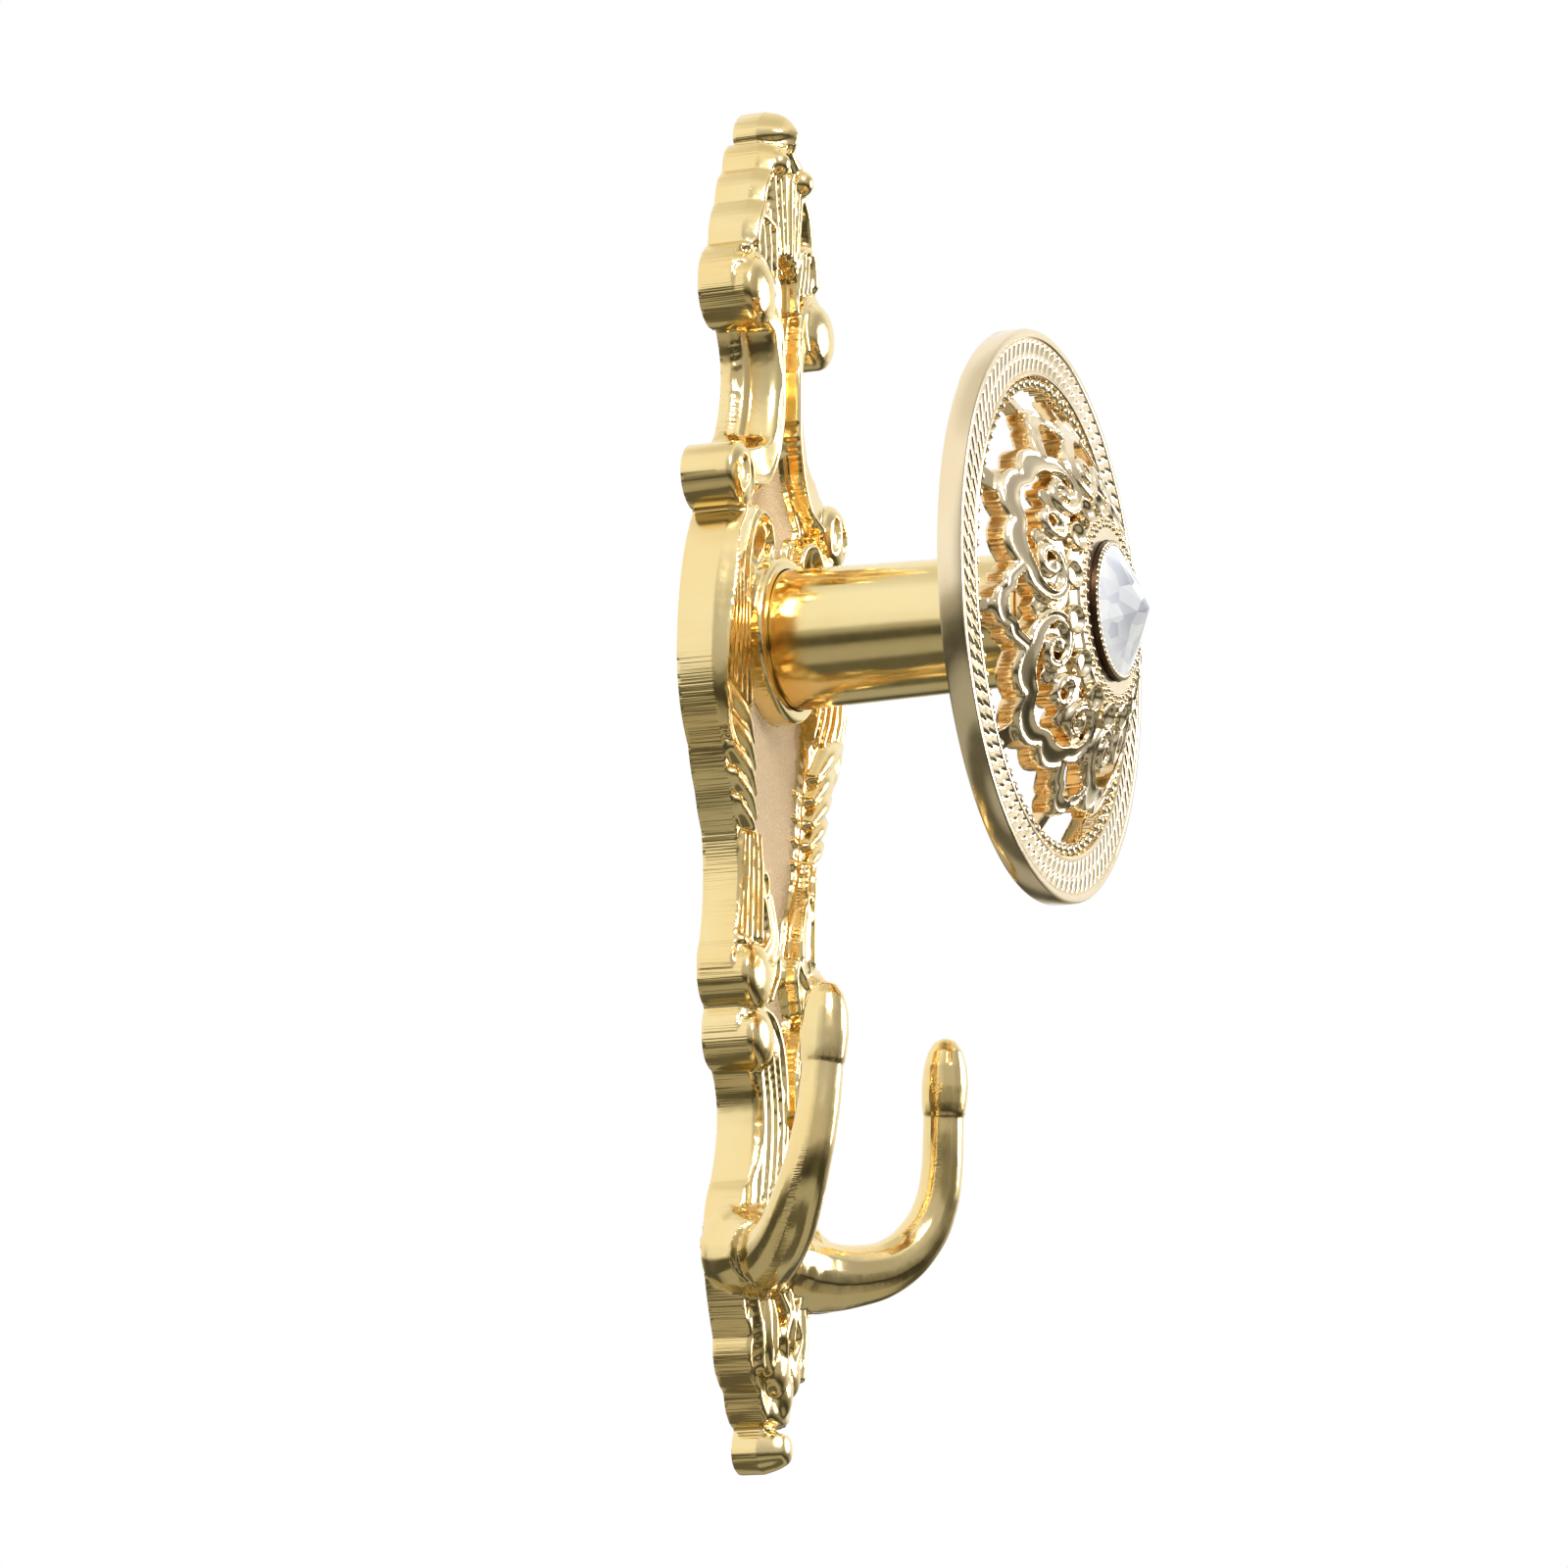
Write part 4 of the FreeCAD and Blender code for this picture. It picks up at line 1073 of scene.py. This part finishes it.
fifth_margin, fifth_height = fifth()
print("metal share of one fifth: %.2f" % (fifth_margin > 0).mean())

# %% Bending the fifth onto the dome
def corners_of(cells):
    """Which grid points belong to any of the cells, and which to all four round them."""
    padded = np.pad(cells, 1)
    four = [padded[i:i + cells.shape[0] + 1, j:j + cells.shape[1] + 1] for i in (0, 1) for j in (0, 1)]
    return four[0] | four[1] | four[2] | four[3], four[0] & four[1] & four[2] & four[3]


def fifth_solid(name):
    angle = np.degrees(np.arctan2(GX, GZ))
    radius = np.hypot(GX, GZ)
    margin = np.minimum(fifth_margin, np.minimum(radius - INNER_END, OUTER_END - radius))
    keep = (margin > -0.5 * FLAT_STEP) & (np.abs(angle) < HALF_ANGLE)
    cells = keep[:-1, :-1] & keep[1:, :-1] & keep[:-1, 1:] & keep[1:, 1:]
    used, inner = corners_of(cells)
    edge = used & ~inner & (margin < 1.5 * FLAT_STEP) & (np.abs(angle) < CUT_ANGLE)
    slope_z, slope_x = np.gradient(margin, FLAT_STEP)
    steep = np.maximum(slope_x ** 2 + slope_z ** 2, 0.25)
    x = np.where(edge, GX - margin * slope_x / steep, GX)
    z = np.where(edge, GZ - margin * slope_z / steep, GZ)
    height = np.where(edge, np.minimum(fifth_height, RIBBON_FOOT), fifth_height)
    top = dome_depth(np.hypot(x, z)) + height
    number = -np.ones(keep.shape, int)
    number[used] = np.arange(used.sum())
    points = np.stack([x[used], -top[used], z[used]], 1)
    faces = [[int(number[i + di, j + dj]) for di, dj in ((0, 0), (0, 1), (1, 1), (1, 0))]
             for i, j in zip(*np.nonzero(cells))]
    piece = solid_of(name, points, faces)
    extruded_sheet()
    bpy.ops.transform.translate(value=(0, DOME_WALL * MM, 0))
    bpy.ops.object.mode_set(mode="OBJECT")
    for corner in piece.data.vertices:
        if corner.select:
            distance = math.hypot(corner.co.x, corner.co.z) / MM
            corner.co.y = (DOME_WALL - float(dome_depth(distance))) * MM
    return outward(piece)


def copies_round(piece, count, first):
    """Copies of a piece that points up, each with its own mesh, turned about the post's axis.
    The first one is at an angle from the right."""
    copies = []
    for i in range(count):
        copy = piece.copy()
        copy.data = piece.data.copy()
        bpy.context.collection.objects.link(copy)
        turn = math.radians(90 - first - 360 * i / count)
        copy.data.transform(Matrix.Rotation(turn, 4, "Y"))
        copies.append(copy)
    bpy.data.objects.remove(piece)
    return copies


UNIT_VOXEL = 0.15
UNIT_TRIANGLES = 33000
unit = fifth_solid("cloud_scroll")
modify(unit, "REMESH", mode="VOXEL", voxel_size=UNIT_VOXEL * MM, adaptivity=0.0)
modify(unit, "SMOOTH", factor=0.5, iterations=1)
modify(unit, "SMOOTH", factor=0.5, iterations=8, use_y=False)
report(unit)
modify(unit, "DECIMATE", ratio=min(1.0, UNIT_TRIANGLES / count_triangles(unit)))
report(unit)
lattice = joined(copies_round(unit, UNITS, FIRST_UNIT), "rosette_lattice")
report(lattice)

# %% [markdown]
# ### Rim, reeds and beads
#
# The rim is turned on a lathe: a profile spun round the axis. Its flat band is engraved with
# two rows of slanted dashes. They are part of the surface, so the band is drawn on a grid of
# angles and distances. Inside it stands a ring of reeds, each with a bead on its front end.

# %% Rim
RIM_ANGLES = 1320
DASHES = 110
RIM_PROFILE = [(30.3, 39.65), (36.0, 39.6), (36.45, 39.75), (36.6, 40.1), (36.6, 42.4), (36.5, 42.72),
               (36.25, 42.88), (35.6, 42.9), (35.45, 42.82), (35.35, 42.6), (35.25, 42.6)]
BAND = (35.2, 31.2, 24)  # outer and inner radius, and the rings drawn between them
BAND_FACE = 42.72
DASH_ROWS = [(34.25, 0.95, 0.0), (32.2, 0.95, 0.5)]  # middle, half length and shift of each row
DASH_LEAN = 0.4
DASH_HALF_WIDTH = 0.24
DASH_DEPTH = 0.34
RIM_LEDGE = [(31.1, 42.6), (31.0, 42.82), (30.75, 42.86), (30.55, 42.7), (30.45, 42.1), (30.3, 41.9)]


def dashes(radius, turn):
    """Height of the engraving at a distance and an angle."""
    height = np.zeros_like(turn)
    for middle, half_length, shift in DASH_ROWS:
        along = (radius - middle) / half_length
        phase = (turn * DASHES / (2 * math.pi) + along * DASH_LEAN + shift) % 1 - 0.5
        across = np.clip(1 - (np.abs(phase) / DASH_HALF_WIDTH) ** 2, 0, 1)
        height -= DASH_DEPTH * across * np.clip(1 - np.abs(along) ** 3, 0, 1)
    return height


def spun(name, rings, count):
    """Closed rings of points round the axis, joined to a skin. Each is (radius, depth)."""
    turns = np.arange(count) / count * 2 * math.pi
    points = np.vstack([np.stack([r * np.cos(turns), -d * np.ones(count), r * np.sin(turns)], 1)
                        for r, d in rings])
    faces = []
    for k in range(len(rings)):
        a, b = k * count, ((k + 1) % len(rings)) * count
        faces += [(a + i, a + (i + 1) % count, b + (i + 1) % count, b + i) for i in range(count)]
    return outward(solid_of(name, points, faces))


def rim_solid():
    turns = np.arange(RIM_ANGLES) / RIM_ANGLES * 2 * math.pi
    engraved = [(r, BAND_FACE + dashes(r, turns)) for r in np.linspace(*BAND)]
    return spun("rosette_rim", RIM_PROFILE + engraved + RIM_LEDGE, RIM_ANGLES)


rim = rim_solid()
report(rim)

# %% Reeds and beads
BEADS = 80
BEAD = (0.72, 42.1, 29.65)  # radius, depth and distance from the axis
REED = (0.62, 40.8, 29.95)
REED_LENGTH = 2.2


def bead_on_reed():
    radius, depth, away = BEAD
    let_go()
    bpy.ops.mesh.primitive_uv_sphere_add(segments=14, ring_count=9, radius=radius * MM,
                                         location=(0, -depth * MM, away * MM))
    ball = applied(bpy.context.object)
    radius, depth, away = REED
    let_go()
    bpy.ops.mesh.primitive_cylinder_add(vertices=12, radius=radius * MM, depth=REED_LENGTH * MM,
                                        location=(0, -depth * MM, away * MM),
                                        rotation=(math.pi / 2, 0, 0))
    reed = applied(bpy.context.object)
    return joined([ball, reed], "bead")


beads = joined(copies_round(bead_on_reed(), BEADS, 0), "rosette_beads")
report(beads)

# %% [markdown]
# ### Hub
#
# The middle of the dome is a turned disc on a boss, bored for the stud. Fifteen dished petals
# stand round it and lean with the dome, two rings of fine grains lie inside them, and a moat is
# left round the crystal's cup.

# %% Hub
def skin(radius, above):
    return (radius, float(dome_depth(radius)) + above)


HUB = [  # profile of the disc: its front, its edge, the boss and the bore
    (0.0, CUP_SEAT), (8.95, CUP_SEAT), (9.05, 50.35), (10.35, 50.4),
    skin(10.6, -0.1), skin(10.8, 0.0), skin(12.2, 0.0), skin(12.4, -0.35), skin(13.7, -0.5),
    skin(13.9, -0.8), skin(13.9, -DOME_WALL), skin(8.3, -DOME_WALL - 0.6),
    (8.2, POST_END + 0.3), (7.9, POST_END), (2.65, POST_END), (2.6, 45.9), (0.0, 46.0),
]
PETAL = [(0.0, -0.75), (0.5, -0.7), (0.95, -0.5), (1.3, -0.1), (1.5, 0.2), (1.68, 0.28), (1.84, 0.18),
         (1.95, -0.15), (1.95, -2.0), (0.0, -2.0)]
PETALS = 15
PETAL_FIRST = 149.5
PETAL_RING = 13.6
GRAIN_ROWS = [(10.95, 46, 0.0), (11.6, 48, 0.5)]  # radius, number of grains, shift
GRAIN_RADIUS = 0.36


def upright(piece, radius):
    """Leans a piece that was spun about the axis with the dome, and moves it up to a radius."""
    lean = math.asin(radius / DOME_RADIUS)
    piece.data.transform(Matrix.Rotation(-lean, 4, "X"))
    piece.data.transform(Matrix.Translation((0, -float(dome_depth(radius)) * MM, radius * MM)))
    return piece


def grain(radius):
    let_go()
    bpy.ops.mesh.primitive_ico_sphere_add(subdivisions=2, radius=GRAIN_RADIUS * MM,
                                          location=(0, -float(dome_depth(radius)) * MM, radius * MM))
    return applied(bpy.context.object)


petal = upright(spun("petal", PETAL, 28), PETAL_RING)
hub_parts = [spun("hub_disc", HUB, 120)] + copies_round(petal, PETALS, PETAL_FIRST)
for radius, count, shift in GRAIN_ROWS:
    hub_parts += copies_round(grain(radius), count, 360 * shift / count)
hub = joined(hub_parts, "rosette_hub")
report(hub)

# %% [markdown]
# ## Metal
#
# Every gilt piece has nearly the same finish, so one function makes it: a polished metal whose
# colour and gloss wander a little, with a slight unevenness as casting and plating leave it.
# Where gold mostly sees gold, the light it throws back is orange. That light is painted in: the
# recesses of the plate, the depth of the openwork and the foot of the post get a painted orange
# reflection in their colour. The patterns are measured in the object's own space, so they stay
# on the piece. The plate has two more things: a sandy grain where its field is, and fine marks
# across its side wall.

# %% Material tools
class Paint:
    """A material's node tree, with short ways to add to it."""

    def __init__(self, name):
        self.material = bpy.data.materials.new(name)
        self.material.use_nodes = True
        self.nodes = self.material.node_tree.nodes
        self.links = self.material.node_tree.links
        self.shader = self.nodes["Principled BSDF"]
        self.place = self.nodes.new("ShaderNodeTexCoord")

    def link(self, source, target):
        self.links.new(source, target)
        return target

    def noise(self, scale, detail=2.0, stretch=(1, 1, 1)):
        """Noise with so many waves in a metre, stretched along the axes."""
        fit = self.nodes.new("ShaderNodeMapping")
        fit.inputs["Scale"].default_value = stretch
        texture = self.nodes.new("ShaderNodeTexNoise")
        texture.inputs["Scale"].default_value = scale
        texture.inputs["Detail"].default_value = detail
        self.link(self.place.outputs["Object"], fit.inputs["Vector"])
        self.link(fit.outputs[0], texture.inputs["Vector"])
        return texture.outputs["Fac"]

    def mark(self, name):
        """A value that was written on the mesh, zero where there is none."""
        node = self.nodes.new("ShaderNodeAttribute")
        node.attribute_name = name
        return node.outputs["Fac"]

    def parts(self, place):
        """The outputs X, Y and Z of a kind of coordinates."""
        node = self.nodes.new("ShaderNodeSeparateXYZ")
        self.link(self.place.outputs[place], node.inputs[0])
        return node.outputs

    def now(self, name):
        """What an input of the shader is linked to so far."""
        return self.shader.inputs[name].links[0].from_socket

    def give(self, name, source):
        """Links an input of the shader, in place of what it was linked to."""
        self.link(source, self.shader.inputs[name])

    def span(self, source, low, high, start=0.0, end=1.0):
        """Turns one range of values into another."""
        node = self.nodes.new("ShaderNodeMapRange")
        for name, value in (("From Min", start), ("From Max", end), ("To Min", low), ("To Max", high)):
            node.inputs[name].default_value = value
        self.link(source, node.inputs["Value"])
        return node.outputs[0]

    def combine(self, operation, first, second):
        node = self.nodes.new("ShaderNodeMath")
        node.operation = operation
        for source, target in ((first, node.inputs[0]), (second, node.inputs[1])):
            if isinstance(source, (int, float)):
                target.default_value = source
            else:
                self.link(source, target)
        return node.outputs[0]

    def blend(self, share, first, second):
        """A colour between two, each a colour or a socket."""
        node = self.nodes.new("ShaderNodeMix")
        node.data_type = "RGBA"
        self.link(share, node.inputs["Factor"])
        for source, target in ((first, node.inputs[6]), (second, node.inputs[7])):
            if isinstance(source, tuple):
                target.default_value = source + (1,)
            else:
                self.link(source, target)
        return node.outputs[2]

    def bump(self, source, height, before=None):
        """Raises the surface by a height in metres, on top of an earlier bump."""
        node = self.nodes.new("ShaderNodeBump")
        node.inputs["Strength"].default_value = 1.0
        node.inputs["Distance"].default_value = height
        self.link(source, node.inputs["Height"])
        if before is not None:
            self.link(before, node.inputs["Normal"])
        return node.outputs[0]


# Painted reflection: orange painted into recesses, for the light that gold throws onto gold
PAINTED_REFLECTION_ORANGE = (0.97, 0.60, 0.17)  # colour of recesses
UNEVEN = 0.00002  # height of the metal's unevenness, in metres


def gilt(name, pale, deep, gloss):
    """Polished gilt metal between a pale and a deep colour, with a range of roughness. Its
    recesses get a painted orange reflection, for the light that gold throws onto gold."""
    paint = Paint(name)
    metal = paint.blend(paint.span(paint.noise(90, 3), 0, 1, 0.3, 0.7), pale, deep)
    # painted reflection: orange painted where the mesh's recess mark says gold faces gold
    paint.give("Base Color", paint.blend(paint.mark("recess"), metal, PAINTED_REFLECTION_ORANGE))
    paint.give("Roughness", paint.span(paint.noise(420, 3), gloss[0], gloss[1], 0.3, 0.7))
    paint.shader.inputs["Metallic"].default_value = 1.0
    paint.give("Normal", paint.bump(paint.noise(260, 2), UNEVEN))
    return paint


def wear(piece, *paints):
    """Gives a piece its materials."""
    piece.data.materials.clear()
    for paint in paints:
        piece.data.materials.append(paint.material)


# %% Plate gold
PLATE_PALE = (0.95, 0.78, 0.42)
PLATE_DEEP = (0.93, 0.71, 0.33)
FIELD_PALE = (1.00, 0.86, 0.58)
FIELD_DEEP = (1.00, 0.68, 0.40)
FIELD_ROUGHNESS = 0.42
FIELD_METALLIC = 0.2
SAND_HEIGHT = 0.0003  # in metres, as the next one is
WALL_MARKS_HEIGHT = 0.00007
FIELD_MARGIN = 0.3  # of smooth metal along the field's edge
FIELD_SKIN = 0.22  # how far from the field's level a grained corner may be
RECESS_REACH = 5  # grid points over which the mean height is taken
RECESS_PAINTED_REFLECTION_SHARE = 0.7


def blurred(values, reach):
    """The mean over a square round each grid point."""
    for axis in (0, 1):
        values = np.mean([np.roll(values, k, axis) for k in range(-reach, reach + 1)], axis=0)
    return values


def write_mark(piece, name, values):
    mark = piece.data.attributes.new(name, "FLOAT", "POINT")
    mark.data.foreach_set("value", np.asarray(values, float))


def mark_plate(piece):
    """Writes on each corner of the mesh how much it belongs to the grained field, and how far
    it lies in a recess of the carving, which sets its painted orange reflection."""
    corners = np.array([v.co for v in piece.data.vertices]) / MM
    column = np.clip(np.round(np.abs(corners[:, 0]) / GRID_STEP).astype(int), 0, len(GRID_X) - 1)
    row = np.clip(np.round((corners[:, 2] - GRID_Z[0]) / GRID_STEP).astype(int), 0, len(GRID_Z) - 1)
    inside = in_field & (field_distance > FIELD_MARGIN)
    share = inside[row, column] & (np.abs(-corners[:, 1] - FIELD_LEVEL) < FIELD_SKIN)
    write_mark(piece, "grain", share)
    # painted reflection: corners lower than the mean height round them are painted orange, but not on the
    # field or along the outline
    below = blurred(relief, RECESS_REACH) - relief
    deep = np.clip((below - 0.15) / 0.7, 0, 1) * (edge_distance > EDGE_PULL) * ~in_field
    write_mark(piece, "recess", RECESS_PAINTED_REFLECTION_SHARE * deep[row, column])
    return int(share.sum())


def plate_gold():
    paint = gilt("plate_gold", PLATE_PALE, PLATE_DEEP, (0.12, 0.19))
    grained = paint.span(paint.mark("grain"), 0, 1, 0.35, 0.65)
    sand = paint.span(paint.noise(3400, 3), 0, 1, 0.35, 0.65)
    field = paint.blend(sand, FIELD_DEEP, FIELD_PALE)
    paint.give("Base Color", paint.blend(grained, paint.now("Base Color"), field))
    rough = paint.combine("MULTIPLY", grained, FIELD_ROUGHNESS)
    paint.give("Roughness", paint.combine("MAXIMUM", paint.now("Roughness"), rough))
    paint.give("Metallic", paint.span(grained, 1, FIELD_METALLIC))
    sandy = paint.bump(paint.combine("MULTIPLY", sand, grained), SAND_HEIGHT, paint.now("Normal"))
    chatter = paint.noise(60, 1, (60, 0.8, 60))
    lower = paint.combine("MULTIPLY", chatter, paint.span(paint.noise(35, 1), 0, 1, 0.42, 0.52))
    facing = paint.combine("ABSOLUTE", paint.parts("Normal")["Y"], 0)
    marks = paint.combine("MULTIPLY", lower, paint.span(facing, 1, 0, 0.05, 0.25))
    paint.give("Normal", paint.bump(marks, WALL_MARKS_HEIGHT, sandy))
    return paint


print("field corners:", mark_plate(plate))
wear(plate, plate_gold())

# %% Post, rosette and screws
POST_TONES = ((0.95, 0.79, 0.43), (0.93, 0.73, 0.35), (0.10, 0.17))  # pale, deep, roughness
ROSETTE_TONES = ((0.95, 0.81, 0.58), (0.90, 0.74, 0.49), (0.12, 0.20))
STEEL_TONES = ((0.72, 0.71, 0.69), (0.60, 0.59, 0.57), (0.18, 0.30))
# Painted reflection: where orange is painted onto the post's foot
POST_PAINTED_REFLECTION = (-0.0125, -0.0075)  # y in metres where the foot's glow begins and is full
# Painted reflection: depths under the dome's skin where orange is painted, and how much
DOME_PAINTED_REFLECTION = (0.45 * MM, 1.4 * MM)  # the same as depths under the dome's skin
DOME_PAINTED_REFLECTION_SHARE = 0.4


def post_finish():
    """Gilt with a painted orange reflection near the plate, where the metal mostly sees more gold."""
    paint = gilt("post_gold", *POST_TONES)
    near = paint.span(paint.parts("Object")["Y"], 0, 1, *POST_PAINTED_REFLECTION)
    # painted reflection: orange painted onto the foot of the post
    paint.give("Base Color", paint.blend(near, paint.now("Base Color"), PAINTED_REFLECTION_ORANGE))
    return paint


def rosette_finish():
    """Pale gilt with a painted orange reflection under the dome's skin, in the openwork's depth."""
    paint = gilt("rosette_gold", *ROSETTE_TONES)
    place = paint.parts("Object")
    x2 = paint.combine("MULTIPLY", place["X"], place["X"])
    z2 = paint.combine("MULTIPLY", place["Z"], place["Z"])
    left = paint.combine("SUBTRACT", (DOME_RADIUS * MM) ** 2, paint.combine("ADD", x2, z2))
    root = paint.combine("SQRT", left, 0)
    skin_depth = paint.combine("ADD", root, (DOME_CROWN - DOME_RADIUS) * MM)
    under = paint.combine("ADD", skin_depth, place["Y"])
    deep = paint.span(under, 0, DOME_PAINTED_REFLECTION_SHARE, *DOME_PAINTED_REFLECTION)
    # painted reflection: orange painted in the openwork's depth
    paint.give("Base Color", paint.blend(deep, paint.now("Base Color"), PAINTED_REFLECTION_ORANGE))
    return paint


post_gold = post_finish()
rosette_gold = rosette_finish()
bright_steel = gilt("bright_steel", *STEEL_TONES)
wear(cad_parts["post"], post_gold)
for name in ("centre_screw", "rosette_stud"):
    wear(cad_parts[name], bright_steel)
for piece in (lattice, rim, beads, hub):
    wear(piece, rosette_gold)
print("gold on the post and the rosette, steel on the screws")

# %% [markdown]
# ## Crystal
#
# The stone is a silvered glass: its facets act as mirrors of a slightly blue grey, and look
# lighter or darker as each one catches a different part of the tent. The facets behind are a
# painted reflection: shards of different greys in the colour, darker towards the middle. Its cup
# is painted a dark brown band as painted shade, and a ring of fine gilt teeth round its front
# edge holds the stone.

# %% Crystal and cup
def crystal_glass():
    paint = Paint("crystal")
    # Painted reflection: grey shards in the colour stand for the facets behind and what they reflect
    painted_shards = paint.nodes.new("ShaderNodeTexVoronoi")
    painted_shards.inputs["Scale"].default_value = 420
    paint.link(paint.place.outputs["Object"], painted_shards.inputs["Vector"])
    split = paint.nodes.new("ShaderNodeSeparateColor")
    paint.link(painted_shards.outputs["Color"], split.inputs[0])
    inner = paint.blend(split.outputs[0], (0.30, 0.32, 0.40), (1.0, 1.0, 1.0))
    outer = paint.blend(split.outputs[1], (0.72, 0.75, 0.83), (1.0, 1.0, 1.0))
    flat = paint.nodes.new("ShaderNodeVectorMath")
    flat.operation = "MULTIPLY"
    flat.inputs[1].default_value = (1, 0, 1)
    paint.link(paint.place.outputs["Object"], flat.inputs[0])
    length = paint.nodes.new("ShaderNodeVectorMath")
    length.operation = "LENGTH"
    paint.link(flat.outputs[0], length.inputs[0])
    # the painted shards are darker towards the middle of the stone
    ring = paint.span(length.outputs["Value"], 0, 1, 0.0035, 0.0075)
    paint.give("Base Color", paint.blend(ring, inner, outer))
    paint.shader.inputs["Metallic"].default_value = 0.4
    paint.give("Roughness", paint.span(paint.noise(300), 0.03, 0.07))
    return paint


# Painted shade: the cup is a near black brown, for the shaded band round the stone
CUP_PAINTED_SHADE_TONES = ((0.10, 0.06, 0.04), (0.05, 0.03, 0.02), (0.25, 0.4))
TEETH = 64
TOOTH_RADIUS = 0.48
TOOTH_RING = 8.42
TOOTH_DEPTH = 50.9


def tooth():
    let_go()
    bpy.ops.mesh.primitive_ico_sphere_add(subdivisions=2, radius=TOOTH_RADIUS * MM,
                                          location=(0, -TOOTH_DEPTH * MM, TOOTH_RING * MM))
    return applied(bpy.context.object)


teeth = joined(copies_round(tooth(), TEETH, 0), "cup_teeth")
report(teeth)
wear(teeth, rosette_gold)
wear(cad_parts["crystal"], crystal_glass())
# painted shade: the cup's dark brown stands for the shade round the stone
wear(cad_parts["crystal_cup"], gilt("cup_painted_shade", *CUP_PAINTED_SHADE_TONES))
print("crystal and cup painted")

# %% [markdown]
# ## Joining the frame
#
# Each finished piece is shaded smooth by angle and rides on the root, as the whole holdback is
# fixed.

# %% Riding on the frame
SMOOTH_ANGLE = 38
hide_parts("backplate")
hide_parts("rosette")
FINISHES = [(plate, "plate_gold"), (lattice, "rosette_gold"), (rim, "rosette_gold"),
            (beads, "rosette_gold"), (hub, "rosette_gold"), (teeth, "cup_gold")]
for piece, finish in FINISHES:
    take(piece)
    bpy.ops.object.shade_smooth_by_angle(angle=math.radians(SMOOTH_ANGLE))
    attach(piece, "root")
